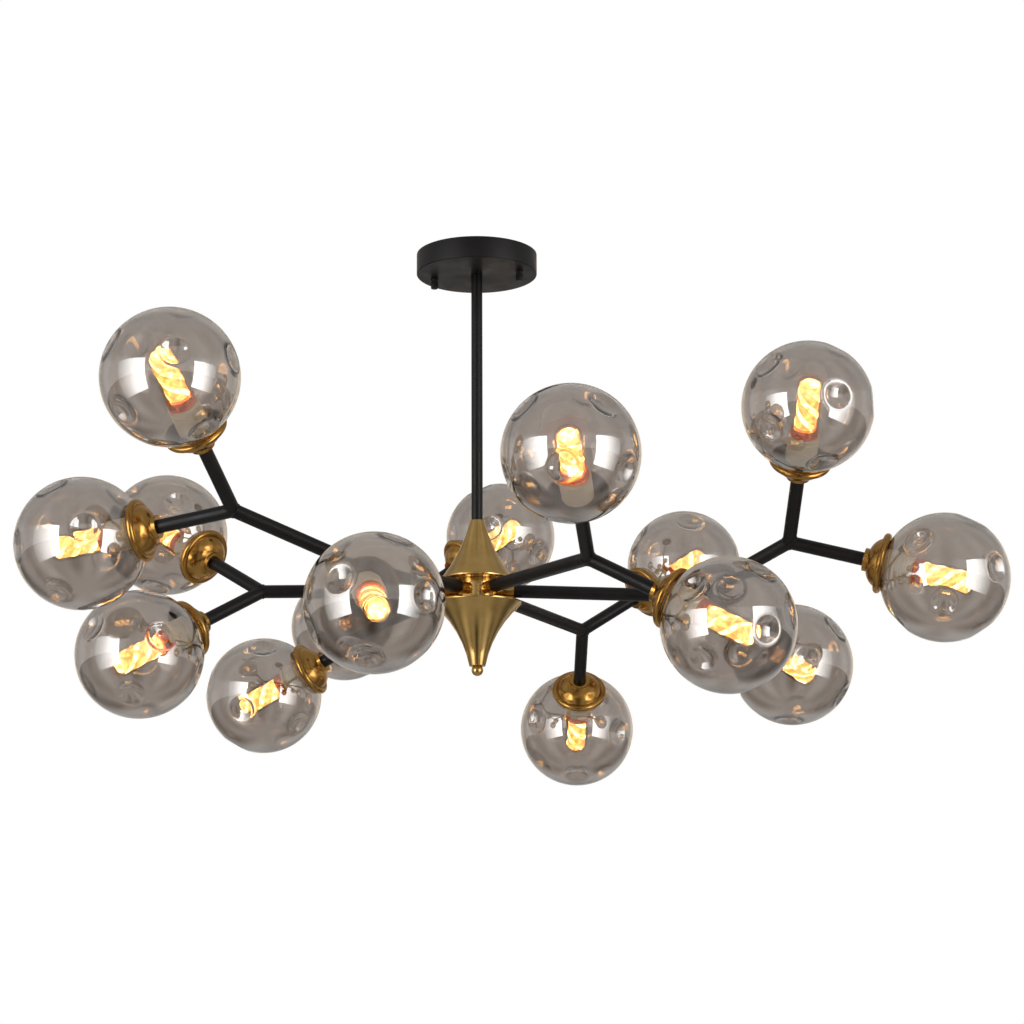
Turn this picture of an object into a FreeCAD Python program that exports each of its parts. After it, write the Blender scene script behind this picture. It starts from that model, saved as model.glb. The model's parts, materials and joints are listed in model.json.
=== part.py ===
"""Branch chandelier: a canopy, a down rod, a brass hub and six forked arms that carry fifteen globe lamps.

Millimetres, +Z up, origin on the ceiling at the middle of the canopy, front towards -Y.
Each arm is a straight tube that splits into two branches, 45 degrees to each side. On every second arm one
branch splits again. Each lamp lies along its branch: cup, threaded holder, bulb, and a dented glass globe.
"""
import FreeCAD
import Part
import Sketcher
import math
import os

Vector = FreeCAD.Vector
Rotation = FreeCAD.Rotation
Placement = FreeCAD.Placement

# ---------------------------------------------------------------- driving dimensions

SIZES = {
    # ceiling side
    "canopy_diameter": 119.0,
    "canopy_height": 21.0,
    "canopy_wall": 1.0,
    "canopy_edge": 1.2,
    "strap_length": 96.0,
    "strap_width": 12.0,
    "strap_thickness": 2.0,
    "slot_spacing": 70.0,
    "slot_length": 14.0,
    "slot_width": 4.6,
    "rivet_diameter": 8.0,
    "rivet_head_diameter": 11.0,
    "rivet_head_height": 0.8,
    "stud_spacing": 88.0,
    "stud_diameter": 4.0,
    "stud_reach": 8.0,
    "stud_strap_turn": -17.0,
    "cap_nut_diameter": 7.4,
    "cap_nut_height": 10.0,
    "earth_screw_radius_out": 24.0,
    "earth_screw_length": 7.0,
    "earth_screw_head": 7.0,
    "block_length": 20.0,
    "block_width": 13.0,
    "block_height": 9.0,
    "block_radius_out": 27.0,
    # rod
    "rod_diameter": 11.0,
    "rod_wall": 1.3,
    "rod_thread_depth": 24.0,
    "nipple_wall": 1.2,
    "lock_nut_flats": 14.0,
    "lock_nut_height": 4.0,
    "washer_diameter": 20.0,
    "washer_thickness": 1.0,
    # hub
    "canopy_to_arms": 317.4,
    "hub_diameter": 38.0,
    "hub_above": 10.0,
    "hub_below": 12.0,
    "hub_cavity_diameter": 25.0,
    "hub_plate": 3.0,
    "upper_cone_base": 69.0,
    "upper_cone_top": 13.4,
    "upper_cone_height": 58.8,
    "upper_cone_sweep": 157.0,
    "lower_cone_rim": 85.0,
    "lower_cone_tip": 15.4,
    "lower_cone_height": 62.0,
    "lower_cone_sweep": 106.0,
    "cone_wall": 1.4,
    "cone_rim_edge": 1.6,
    "finial_diameter": 11.2,
    "finial_height": 9.5,
    "finial_grip": 7.4,
    "finial_stud_diameter": 5.0,
    # arms
    "tube_diameter": 12.7,
    "tube_wall": 1.2,
    "arm_start": 35.5,
    "socket_diameter": 12.0,
    "socket_thread_diameter": 10.0,
    "socket_bore": 5.0,
    "socket_insert": 12.0,
    "socket_shoulder": 1.1,
    "fork_angle": 45.0,
    "arm_reach": 208.0,
    "outer_fork_reach": 120.0,
    "lamp_reach": 147.5,
    "wire_diameter": 3.0,
    "first_arm_azimuth": -1.5,
    # lamps, measured along the lamp axis from the middle of the globe
    "globe_diameter": 120.0,
    "globe_wall": 2.0,
    "globe_neck_diameter": 36.0,
    "globe_neck_length": 6.0,
    "globe_mouth": 29.8,
    "dent_radius": 18.0,
    "dent_depth": 6.0,
    "cup_back": 76.0,
    "cup_collar_diameter": 21.6,
    "cup_collar_height": 4.0,
    "cup_dome_diameter": 46.6,
    "cup_dome_bulge": 18.0,
    "cup_wall": 1.2,
    "cup_seat_depth": 2.0,
    "cup_ring_back": 58.5,
    "cup_ring_diameter": 57.0,
    "cup_ring_bead": 6.5,
    "spigot_diameter": 8.0,
    "spigot_length": 8.0,
    "holder_diameter": 29.0,
    "holder_foot_diameter": 18.0,
    "holder_foot_height": 5.0,
    "holder_flare": 3.0,
    "holder_front": 29.5,
    "holder_bore": 14.4,
    "holder_floor": 53.8,
    "bulb_collar_diameter": 26.0,
    "bulb_collar_height": 9.0,
    "bulb_diameter": 24.0,
    "bulb_tip": 27.5,
    "bulb_shoulder": 5.0,
    "bulb_cap_diameter": 13.8,
    "bulb_cap_length": 22.0,
    "bulb_contact_diameter": 6.0,
    "bulb_contact_height": 2.0,
    # fits
    "thread_clearance": 0.1,
    "loose_clearance": 0.3,
}

# One row for each arm, anticlockwise from above: how far it droops, how its fork is rolled about the
# arm, and how the outer fork is rolled about its branch (None where the arm has one fork). Degrees.
ARMS = (
    (2.0, -28.0, -24.0),
    (2.5, -52.0, None),
    (1.5, -35.0, 0.0),
    (0.0, -44.0, None),
    (2.5, -32.0, -119.0),
    (1.5, -40.0, None),
)

# Where the dents of a globe lie: (degrees from the tip of the lamp axis, degrees round it).
DENTS = (
    (38, 20),
    (44, 150),
    (50, 265),
    (82, 75),
    (88, 200),
    (78, 325),
    (118, 20),
    (124, 140),
    (120, 255),
)
ALONG_X = Rotation(Vector(0, 1, 0), 90)  # turns a Z axis to X
GLOBE_TURN = 137.5  # each globe is screwed on to a different place, which spreads the dents

document = FreeCAD.newDocument("BranchChandelier")
sheet = document.addObject("Spreadsheet::Sheet", "Sizes")
for row, (alias, value) in enumerate(SIZES.items(), start=1):
    sheet.set(f"A{row}", alias)
    sheet.set(f"B{row}", str(value))
    sheet.setAlias(f"B{row}", alias)
document.recompute()


class Size:
    """A dimension that knows its value and the spreadsheet formula it comes from."""

    def __init__(self, value, formula):
        self.value = value
        self.formula = formula

    def __add__(self, other):
        other = as_size(other)
        return Size(self.value + other.value, f"({self.formula} + {other.formula})")

    def __sub__(self, other):
        other = as_size(other)
        return Size(self.value - other.value, f"({self.formula} - {other.formula})")

    def __mul__(self, number):
        return Size(self.value * number, f"({self.formula} * {number})")

    def __truediv__(self, number):
        return Size(self.value / number, f"({self.formula} / {number})")

    def squared(self):
        return Size(self.value**2, f"({self.formula} ^ 2)")

    def root(self):
        return Size(math.sqrt(self.value), f"sqrt({self.formula})")


def as_size(number):
    """A plain number as a Size; a Size as it is."""
    return number if isinstance(number, Size) else Size(float(number), repr(float(number)))


def size(alias):
    """The named cell of the sheet as a Size."""
    return Size(SIZES[alias], f"Sizes.{alias}")


def bind(thing, **properties):
    """Sets properties of a document object and ties them to their formulas."""
    for name, dimension in properties.items():
        dimension = as_size(dimension)
        setattr(thing, name, dimension.value)
        thing.setExpression(name, dimension.formula)
    return thing


# ---------------------------------------------------------------- ways of making a piece


def cylinder(radius, height, placement=None):
    """A cylinder along its own Z from its placement."""
    solid = document.addObject("Part::Cylinder", "Cylinder")
    bind(solid, Radius=radius, Height=height)
    solid.Placement = placement or Placement()
    return solid


def ball(radius, placement=None):
    """A sphere about its placement."""
    solid = document.addObject("Part::Sphere", "Sphere")
    bind(solid, Radius=radius)
    solid.Placement = placement or Placement()
    return solid


def block(length, width, height, placement=None):
    """A box centred on its placement in X and Y, standing on its Z = 0."""
    solid = document.addObject("Part::Box", "Box")
    bind(solid, Length=length, Width=width, Height=height)
    centring = Placement(Vector(-length.value / 2, -width.value / 2, 0), Rotation())
    solid.Placement = (placement or Placement()) * centring
    return solid


def hexagon(flats, height, placement=None):
    """A hexagonal prism, its size across the flats."""
    solid = document.addObject("Part::Prism", "Prism")
    solid.Polygon = 6
    bind(solid, Circumradius=flats / math.sqrt(3), Height=height)
    solid.Placement = placement or Placement()
    return solid


def fuse(label, *solids):
    """One solid out of several."""
    joined = document.addObject("Part::MultiFuse", label)
    joined.Label = label
    joined.Shapes = list(solids)
    return joined


def cut(label, base, *tools):
    """The base less the tools."""
    tool = tools[0] if len(tools) == 1 else fuse(label + "_tools", *tools)
    result = document.addObject("Part::Cut", label)
    result.Label = label
    result.Base = base
    result.Tool = tool
    return result


def turned(label, outline):
    """A body turned about Z from a closed outline of (radius, height) corners.

    A corner may carry a third value, the radius of the arc that leads from it to the next corner: positive
    bulges to the right of the way there, negative to the left.
    """
    body = document.addObject("PartDesign::Body", label)
    body.Label = label
    sketch = body.newObject("Sketcher::SketchObject", label + "_outline")
    plane = [face for face in body.Origin.OriginFeatures if face.Role == "XZ_Plane"][0]
    sketch.AttachmentSupport = [(plane, "")]
    sketch.MapMode = "FlatFace"
    corners = [(as_size(corner[0]), as_size(corner[1])) for corner in outline]
    points = [Vector(x.value, y.value, 0) for x, y in corners]
    count = len(points)
    for index, corner in enumerate(outline):
        start = points[index]
        end = points[(index + 1) % count]
        if len(corner) == 3:
            sketch.addGeometry(arc_between(start, end, as_size(corner[2]).value), False)
        else:
            sketch.addGeometry(Part.LineSegment(start, end), False)
    starts = []
    for index in range(count):
        edge = sketch.Geometry[index]
        turned_back = (edge.StartPoint - points[index]).Length > 1e-6
        starts.append(2 if turned_back else 1)
    for index in range(count):
        after = (index + 1) % count
        joint = Sketcher.Constraint("Coincident", index, 3 - starts[index], after, starts[after])
        sketch.addConstraint(joint)
    for index, (x, y) in enumerate(corners):
        place_corner(sketch, index, starts[index], x, y)
    for index, corner in enumerate(outline):
        if len(corner) == 3:
            radius = as_size(corner[2])
            formula = radius.formula if radius.value > 0 else f"(-1 * {radius.formula})"
            tied_constraint(sketch, Sketcher.Constraint("Radius", index, abs(radius.value)), formula)
    revolution = body.newObject("PartDesign::Revolution", label + "_turning")
    revolution.Profile = sketch
    revolution.ReferenceAxis = (sketch, ["V_Axis"])
    revolution.Angle = 360.0
    body.Tip = revolution
    return body


def arc_between(start, end, radius):
    """The shorter arc between two corners, drawn anticlockwise; a positive radius bulges to the right."""
    chord = end - start
    half = chord.Length / 2
    inward = Vector(-chord.y, chord.x, 0).normalize() * math.copysign(1, radius)
    centre = (start + end) / 2 + inward * math.sqrt(max(radius**2 - half**2, 0))
    first, last = (start, end) if radius > 0 else (end, start)
    first_angle = math.atan2(first.y - centre.y, first.x - centre.x)
    last_angle = math.atan2(last.y - centre.y, last.x - centre.x)
    if last_angle < first_angle:
        last_angle += 2 * math.pi
    return Part.ArcOfCircle(Part.Circle(centre, Vector(0, 0, 1), abs(radius)), first_angle, last_angle)


def tied_constraint(sketch, constraint, formula):
    """Adds a constraint whose datum follows a formula."""
    number = sketch.addConstraint(constraint)
    sketch.setExpression(f"Constraints[{number}]", formula)


def place_corner(sketch, edge, end, x, y):
    """Holds one corner of an outline at its radius and height."""
    if abs(x.value) < 1e-9:
        sketch.addConstraint(Sketcher.Constraint("PointOnObject", edge, end, -2))
    else:
        tied_constraint(sketch, Sketcher.Constraint("DistanceX", -1, 1, edge, end, x.value), x.formula)
    if abs(y.value) < 1e-9:
        sketch.addConstraint(Sketcher.Constraint("PointOnObject", edge, end, -1))
    else:
        tied_constraint(sketch, Sketcher.Constraint("DistanceY", -1, 1, edge, end, y.value), y.formula)


def copies(label, pattern, placements):
    """One node of separate, identical solids."""
    group = document.addObject("Part::Feature", label)
    group.Label = label
    solids = []
    for placement in placements:
        solid = pattern.Shape.copy()
        solid.Placement = placement * solid.Placement
        solids.append(solid)
    group.Shape = Part.makeCompound(solids)
    return group


def at(x=0.0, y=0.0, z=0.0, rotation=None):
    """A placement from plain numbers."""
    return Placement(Vector(x, y, z), rotation or Rotation())


# ---------------------------------------------------------------- levels, measured from the ceiling

strap = size("strap_thickness")
canopy_under = size("canopy_height")
arms_level = canopy_under + size("canopy_to_arms")
rod_bottom = arms_level - size("hub_above")
rod_length = rod_bottom - canopy_under
rod_radius = size("rod_diameter") / 2
nipple_radius = rod_radius - size("rod_wall")
nipple_bore = nipple_radius - size("nipple_wall")
stud_radius = size("stud_diameter") / 2
tube_radius = size("tube_diameter") / 2
tube_bore = tube_radius - size("tube_wall")
wire_radius = size("wire_diameter") / 2
hub_bottom = arms_level + size("hub_below")
stud_turn = Rotation(Vector(0, 0, 1), SIZES["stud_strap_turn"])


def along_stud_strap(distance, z):
    """A place on the turned strap, at a distance from its middle."""
    return Placement(stud_turn.multVec(Vector(distance, 0, 0)) + Vector(0, 0, z), stud_turn)


# ---------------------------------------------------------------- ceiling side


def make_ceiling_strap():
    """The flat strap that two screws hold to the ceiling, through its slots."""
    bar = block(size("strap_length"), size("strap_width"), strap, at(z=-strap.value))
    holes = [cylinder(size("rivet_diameter") / 2, strap, at(z=-strap.value))]
    straight = size("slot_length") - size("slot_width")
    for side in (-1, 1):
        middle = side * SIZES["slot_spacing"] / 2
        holes.append(block(straight, size("slot_width"), strap, at(middle, 0, -strap.value)))
        for end in (-1, 1):
            centre = middle + end * straight.value / 2
            holes.append(cylinder(size("slot_width") / 2, strap, at(centre, 0, -strap.value)))
    return cut("ceiling_strap", bar, *holes)


def make_stud_strap():
    """The lower strap: it turns on the rivet, and the canopy hangs from its two studs."""
    level = -2 * strap.value
    length = size("stud_spacing") + size("strap_width") / 2
    bar = block(length, size("strap_width"), strap, along_stud_strap(0, level))
    holes = [cylinder(size("rivet_diameter") / 2, strap, at(z=level))]
    for side in (-1, 1):
        place = along_stud_strap(side * SIZES["stud_spacing"] / 2, level)
        holes.append(cylinder(stud_radius, strap, place))
    holes.append(cylinder(stud_radius, strap, along_stud_strap(SIZES["earth_screw_radius_out"], level)))
    return cut("stud_strap", bar, *holes)


def make_strap_rivet():
    """The hollow rivet that joins the two straps."""
    inner = size("rivet_diameter") / 2 - size("canopy_wall")
    head = size("rivet_head_height")
    rivet = turned("strap_rivet", [
        (inner, 0),
        (size("rivet_head_diameter") / 2, 0),
        (size("rivet_head_diameter") / 2, head),
        (size("rivet_diameter") / 2, head),
        (size("rivet_diameter") / 2, head + strap * 2),
        (inner, head + strap * 2),
    ])
    rivet.Placement = at(z=-(head + strap * 2).value)
    return rivet


def make_studs():
    """Two studs that reach down through the canopy."""
    length = canopy_under + size("stud_reach") - strap
    pattern = cylinder(stud_radius, length)
    document.recompute()
    foot = -(length + strap).value
    places = [along_stud_strap(side * SIZES["stud_spacing"] / 2, foot) for side in (-1, 1)]
    return copies("crossbar_studs", pattern, places)


def make_cap_nut(label, side):
    """One of the two knobs under the canopy that carry the whole chandelier."""
    radius = size("cap_nut_diameter") / 2
    height = size("cap_nut_height")
    bore = stud_radius + size("thread_clearance")
    bore_floor = height - size("stud_reach") - size("loose_clearance")
    edge = size("canopy_edge")
    nut = turned(label, [
        (0, 0),
        (radius - edge, 0, edge),
        (radius, edge),
        (radius, height),
        (bore, height),
        (bore, bore_floor),
        (0, bore_floor),
    ])
    nut.Placement = along_stud_strap(side * SIZES["stud_spacing"] / 2, -(canopy_under + height).value)
    return nut


def make_earth_screw():
    """The earth screw in the lower strap."""
    head = cylinder(size("earth_screw_head") / 2, strap, at(z=-strap.value))
    reach = size("earth_screw_length")
    shank = cylinder(stud_radius, reach, at(z=(strap - reach).value))
    screw = fuse("earth_screw", head, shank)
    screw.Placement = along_stud_strap(SIZES["earth_screw_radius_out"], -2 * strap.value)
    return screw


def make_terminal_block():
    """The terminal block under the lower strap, with a way through for the wires."""
    level = -(strap * 2 + size("block_height")).value
    place = along_stud_strap(-SIZES["block_radius_out"], level)
    return cut(
        "terminal_block",
        block(size("block_length"), size("block_width"), size("block_height"), place),
        wire_to_block(),
    )


def wire_to_block():
    """The wires from the top of the rod to the middle of the terminal block."""
    level = -(strap * 2 + size("block_height") / 2).value
    sideways = stud_turn * Rotation(Vector(0, 1, 0), -90)
    return cylinder(wire_radius, size("block_radius_out"), at(z=level, rotation=sideways))


def make_canopy():
    """The round cover, a shallow cup with holes for the rod and the two studs."""
    radius = size("canopy_diameter") / 2
    wall = size("canopy_wall")
    height = canopy_under
    edge = size("canopy_edge")
    hole = nipple_radius
    shell = turned("canopy_shell", [
        (hole, 0),
        (radius - edge, 0, edge),
        (radius, edge),
        (radius, height),
        (radius - wall, height),
        (radius - wall, wall),
        (hole, wall),
    ])
    shell.Placement = at(z=-height.value)
    holes = []
    for side in (-1, 1):
        place = along_stud_strap(side * SIZES["stud_spacing"] / 2, -height.value)
        holes.append(cylinder(stud_radius + size("loose_clearance"), wall, place))
    return cut("canopy", shell, *holes)


# ---------------------------------------------------------------- rod and hub


def make_rod_nut():
    """Washer and lock nut inside the canopy, which clamp it to the rod."""
    seat = -(canopy_under - size("canopy_wall")).value
    washer = cylinder(size("washer_diameter") / 2, size("washer_thickness"), at(z=seat))
    nut = hexagon(size("lock_nut_flats"), size("lock_nut_height"), at(z=seat + SIZES["washer_thickness"]))
    height = size("washer_thickness") + size("lock_nut_height")
    blank = fuse("rod_nut_blank", washer, nut)
    return cut("rod_lock_nut", blank, cylinder(nipple_radius, height, at(z=seat)))


def make_rod_nipple():
    """The short threaded tube that joins rod and canopy."""
    above = size("canopy_wall") + size("washer_thickness") + size("lock_nut_height") + size("canopy_wall")
    length = size("rod_thread_depth") + above
    nipple = turned("rod_top_nipple", [
        (nipple_bore, 0),
        (nipple_radius, 0),
        (nipple_radius, length),
        (nipple_bore, length),
    ])
    nipple.Placement = at(z=-(canopy_under + size("rod_thread_depth")).value)
    return nipple


def make_downrod():
    """The straight tube from canopy to hub."""
    rod = turned("downrod", [
        (nipple_radius, 0),
        (rod_radius, 0),
        (rod_radius, rod_length),
        (nipple_radius, rod_length),
    ])
    rod.Placement = at(z=-rod_bottom.value)
    return rod


def make_upper_cone():
    """The trumpet-shaped cover on top of the hub, hollow, with a flat base round the rod."""
    wall = size("cone_wall")
    base = size("upper_cone_base") / 2
    top = size("upper_cone_top") / 2
    edge = size("cone_rim_edge")
    height = size("upper_cone_height")
    sweep = size("upper_cone_sweep")
    cone = turned("upper_cone", [
        (rod_radius, 0),
        (base, 0),
        (base, edge, sweep * -1),
        (top, height),
        (rod_radius, height),
        (rod_radius, height * 0.8, sweep),
        (base - wall * 3, edge),
        (rod_radius, edge),
    ])
    cone.Placement = at(z=-rod_bottom.value)
    return cone


def make_hub_drum(frames):
    """The brass drum that holds the six arm sockets, hollow for the wires."""
    radius = size("hub_diameter") / 2
    height = size("hub_above") + size("hub_below")
    plate = size("hub_plate")
    cavity = size("hub_cavity_diameter") / 2
    drum = turned("hub_drum_blank", [
        (nipple_radius, 0),
        (radius, 0),
        (radius, height),
        (nipple_radius, height),
        (nipple_radius, height - plate),
        (cavity, height - plate),
        (cavity, plate),
        (nipple_radius, plate),
    ])
    drum.Placement = at(z=-hub_bottom.value)
    drills = []
    axis = Placement(Vector(), ALONG_X)
    seat = Placement(Vector((radius - size("socket_shoulder")).value, 0, 0), ALONG_X)
    for frame in frames:
        drills.append(cylinder(size("socket_thread_diameter") / 2, radius, frame * axis))
        drills.append(cylinder(size("socket_diameter") / 2, radius, frame * seat))
    return cut("hub_drum", drum, *drills)


def make_arm_sockets(frames):
    """The brass sleeves that screw into the drum, and that the arm tubes slip over."""
    bore = size("socket_bore") / 2
    thread = size("socket_thread_diameter") / 2
    collar = size("socket_diameter") / 2
    start = size("hub_cavity_diameter") / 2
    seat = size("hub_diameter") / 2 - size("socket_shoulder") - start
    shoulder = size("arm_start") - start
    pattern = turned("arm_socket_pattern", [
        (bore, 0),
        (thread, 0),
        (thread, seat),
        (collar, seat),
        (collar, shoulder),
        (tube_bore, shoulder),
        (tube_bore, shoulder + size("socket_insert")),
        (bore, shoulder + size("socket_insert")),
    ])
    document.recompute()
    seated = Placement(Vector(start.value, 0, 0), ALONG_X)
    return copies("arm_sockets", pattern, [frame * seated for frame in frames])


def make_hub_nipple(frames):
    """The threaded core: a tube from the rod through the drum, then a thin stud down to the finial."""
    top = size("hub_above") + size("rod_thread_depth")
    tube_end = size("hub_below") + size("lock_nut_height") + size("canopy_wall")
    stud_end = size("hub_below") + size("lower_cone_height") + size("finial_grip")
    stud = size("finial_stud_diameter") / 2
    blank = turned("hub_nipple_blank", [
        (0, 0),
        (stud, 0),
        (stud, stud_end - tube_end),
        (nipple_radius, stud_end - tube_end),
        (nipple_radius, stud_end + top),
        (nipple_bore, stud_end + top),
        (nipple_bore, stud_end - size("hub_below")),
        (0, stud_end - size("hub_below")),
    ])
    blank.Placement = at(z=-(arms_level + stud_end).value)
    windows = [
        cylinder(wire_radius + size("loose_clearance"), rod_radius, frame * Placement(Vector(), ALONG_X))
        for frame in frames
    ]
    return cut("hub_nipple", blank, *windows)


def make_hub_nut():
    """The lock nut under the drum."""
    level = -(hub_bottom + size("lock_nut_height")).value
    return cut(
        "hub_lock_nut",
        hexagon(size("lock_nut_flats"), size("lock_nut_height"), at(z=level)),
        cylinder(nipple_radius, size("lock_nut_height"), at(z=level)),
    )


def make_lower_cone():
    """The trumpet-shaped cover under the hub, hollow, open at the top round the lock nut."""
    wall = size("cone_wall")
    hole = size("finial_stud_diameter") / 2 + size("loose_clearance")
    tip = size("lower_cone_tip") / 2
    rim = size("lower_cone_rim") / 2
    edge = size("cone_rim_edge")
    height = size("lower_cone_height")
    sweep = size("lower_cone_sweep")
    nut_room = size("lock_nut_flats") / math.sqrt(3) + size("loose_clearance") * 5
    cone = turned("lower_cone", [
        (hole, 0),
        (tip, 0, sweep * -1),
        (rim, height - edge),
        (rim, height),
        (nut_room, height),
        (nut_room, height - edge),
        (rim - wall * 4, height - edge, sweep),
        (tip - wall, height * 0.2),
        (hole, height * 0.2),
    ])
    cone.Placement = at(z=-(hub_bottom + height).value)
    return cone


def make_finial():
    """The ball nut that holds the lower cone up."""
    radius = size("finial_diameter") / 2
    height = size("finial_height")
    flat = (radius.squared() - (height - radius).squared()).root()
    bore = size("finial_stud_diameter") / 2 + size("thread_clearance")
    floor = height - size("finial_grip") - size("loose_clearance")
    finial = turned("finial", [
        (0, 0, radius),
        (flat, height),
        (bore, height),
        (bore, floor),
        (0, floor),
    ])
    finial.Placement = at(z=-(hub_bottom + size("lower_cone_height") + height).value)
    return finial


# ---------------------------------------------------------------- arms


def arm_frame(index):
    """The frame of one arm: its X runs out from the hub, and its fork lies in its XY plane."""
    droop, roll, _ = ARMS[index]
    azimuth = SIZES["first_arm_azimuth"] + index * 360 / len(ARMS)
    heading = Rotation(Vector(0, 0, 1), azimuth) * Rotation(Vector(0, 1, 0), droop)
    return Placement(Vector(0, 0, -arms_level.value), heading * Rotation(Vector(1, 0, 0), roll))


def branch_frame(frame, distance, side, twist=0.0):
    """The frame of a branch that leaves `frame` at a distance, to one side, rolled by `twist`."""
    turn = Rotation(Vector(0, 0, 1), side * SIZES["fork_angle"]) * Rotation(Vector(1, 0, 0), twist)
    return frame * Placement(Vector(distance, 0, 0), turn)


def arm_branches(index):
    """The branches of one arm: (frame, length to the next fork, or None where a lamp ends it)."""
    outer_twist = ARMS[index][2]
    arm = arm_frame(index)
    reach = SIZES["arm_reach"]
    if outer_twist is None:
        return [(branch_frame(arm, reach, -1), None), (branch_frame(arm, reach, 1), None)]
    outer = branch_frame(arm, reach, -1, outer_twist)
    outer_reach = SIZES["outer_fork_reach"]
    return [
        (outer, outer_reach),
        (branch_frame(outer, outer_reach, -1), None),
        (branch_frame(outer, outer_reach, 1), None),
        (branch_frame(arm, reach, 1), None),
    ]


def lamp_frame(branch):
    """The frame of a lamp: its origin is the middle of the globe, its Z runs out along the branch."""
    return branch * Placement(Vector(SIZES["lamp_reach"], 0, 0), ALONG_X)


def branch_run(radius, index, start, lamp_length):
    """The cylinders and balls of one arm's tubes, bores or wires: the same run at any radius."""
    arm = arm_frame(index)
    first = Placement(Vector(start.value, 0, 0), ALONG_X)
    pieces = [cylinder(radius, size("arm_reach") - start, arm * first)]
    pieces.append(ball(radius, arm * Placement(Vector(SIZES["arm_reach"], 0, 0), Rotation())))
    for frame, fork in arm_branches(index):
        length = lamp_length if fork is None else size("outer_fork_reach")
        pieces.append(cylinder(radius, length, frame * Placement(Vector(), ALONG_X)))
        if fork is not None:
            pieces.append(ball(radius, frame * Placement(Vector(fork, 0, 0), Rotation())))
    return pieces


def make_arm(index):
    """One welded tube arm, with a threaded spigot at the end of each lamp branch."""
    label = f"arm_{index + 1}"
    tube_end = size("lamp_reach") - size("cup_back") + size("cup_seat_depth")
    plug = size("spigot_diameter") / 2
    outside = branch_run(tube_radius, index, size("arm_start"), tube_end)
    bores = branch_run(tube_bore, index, size("arm_start"), tube_end - plug)
    for frame, fork in arm_branches(index):
        if fork is None:
            seat = frame * Placement(Vector(tube_end.value, 0, 0), ALONG_X)
            way = tube_end + size("spigot_length")
            outside.append(cylinder(size("spigot_diameter") / 2, size("spigot_length"), seat))
            bores.append(cylinder(size("socket_bore") / 2, way, frame * Placement(Vector(), ALONG_X)))
    return cut(label, fuse(label + "_outside", *outside), *bores)


# ------------------------------------------------ lamps, along Z from the middle of the globe

cup_web = size("cup_back") - size("cup_seat_depth") - size("cup_wall")


def make_cups(lamps):
    """The spun brass cups, each with a collar on the tube, a dome and a rolled bead behind the glass."""
    collar = size("cup_collar_diameter") / 2
    dome = size("cup_dome_diameter") / 2
    wall = size("cup_wall")
    bead = size("cup_ring_bead") / 2
    bead_centre = size("cup_ring_diameter") / 2 - bead
    ring = size("cup_back") - size("cup_ring_back")
    meeting = ring - (bead.squared() - (bead_centre - dome).squared()).root()
    bulge = size("cup_dome_bulge")
    seat = size("cup_seat_depth")
    spigot = size("spigot_diameter") / 2
    pattern = turned("lamp_cup_pattern", [
        (tube_radius, 0),
        (collar, 0),
        (collar, size("cup_collar_height"), bulge),
        (dome, meeting, bead),
        (bead_centre + bead, ring, bead),
        (bead_centre, ring + bead, bead),
        (bead_centre - bead, ring),
        (bead_centre - bead, meeting + wall / 2, (bulge - wall) * -1),
        (collar - wall, size("cup_collar_height") + wall),
        (collar - wall, seat + wall),
        (spigot, seat + wall),
        (spigot, seat),
        (tube_radius, seat),
    ])
    pattern.Placement = at(z=-SIZES["cup_back"])
    document.recompute()
    return copies("lamp_cups", pattern, lamps)


def make_holders(lamps):
    """The lamp holders: a threaded sleeve that carries the globe, and the socket of the bulb."""
    spigot = size("spigot_diameter") / 2
    radius = size("holder_diameter") / 2
    foot = size("holder_foot_diameter") / 2
    foot_height = size("holder_foot_height")
    front = cup_web - size("holder_front")
    floor = cup_web - size("holder_floor")
    bore = size("holder_bore") / 2
    wire_hole = size("socket_bore") / 2
    spigot_room = size("spigot_length") - size("cup_wall") + size("loose_clearance")
    pattern = turned("lamp_holder_pattern", [
        (spigot, 0),
        (foot, 0),
        (foot, foot_height),
        (radius, foot_height + size("holder_flare")),
        (radius, front),
        (bore, front),
        (bore, floor),
        (wire_hole, floor),
        (wire_hole, spigot_room),
        (spigot, spigot_room),
    ])
    pattern.Placement = at(z=-cup_web.value)
    document.recompute()
    return copies("lamp_holders", pattern, lamps)


def make_bulb_pattern():
    """A tubular bulb with a ribbed metal collar and a screw cap."""
    cap = size("bulb_cap_diameter") / 2
    contact = size("bulb_contact_diameter") / 2
    collar = size("bulb_collar_diameter") / 2
    glass = size("bulb_diameter") / 2
    cap_start = size("bulb_contact_height")
    collar_start = cap_start + size("bulb_cap_length")
    collar_end = collar_start + size("bulb_collar_height")
    shoulder = size("bulb_shoulder")
    tip = collar_start + size("holder_front") + size("bulb_tip")
    pattern = turned("bulb_pattern", [
        (0, 0),
        (contact, 0),
        (contact, cap_start),
        (cap, cap_start),
        (cap, collar_start),
        (collar, collar_start),
        (collar, collar_end),
        (glass, collar_end),
        (glass, tip - shoulder, shoulder),
        (glass - shoulder, tip),
        (0, tip),
    ])
    pattern.Placement = at(z=-(size("holder_front") + collar_start).value)
    return pattern


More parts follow.
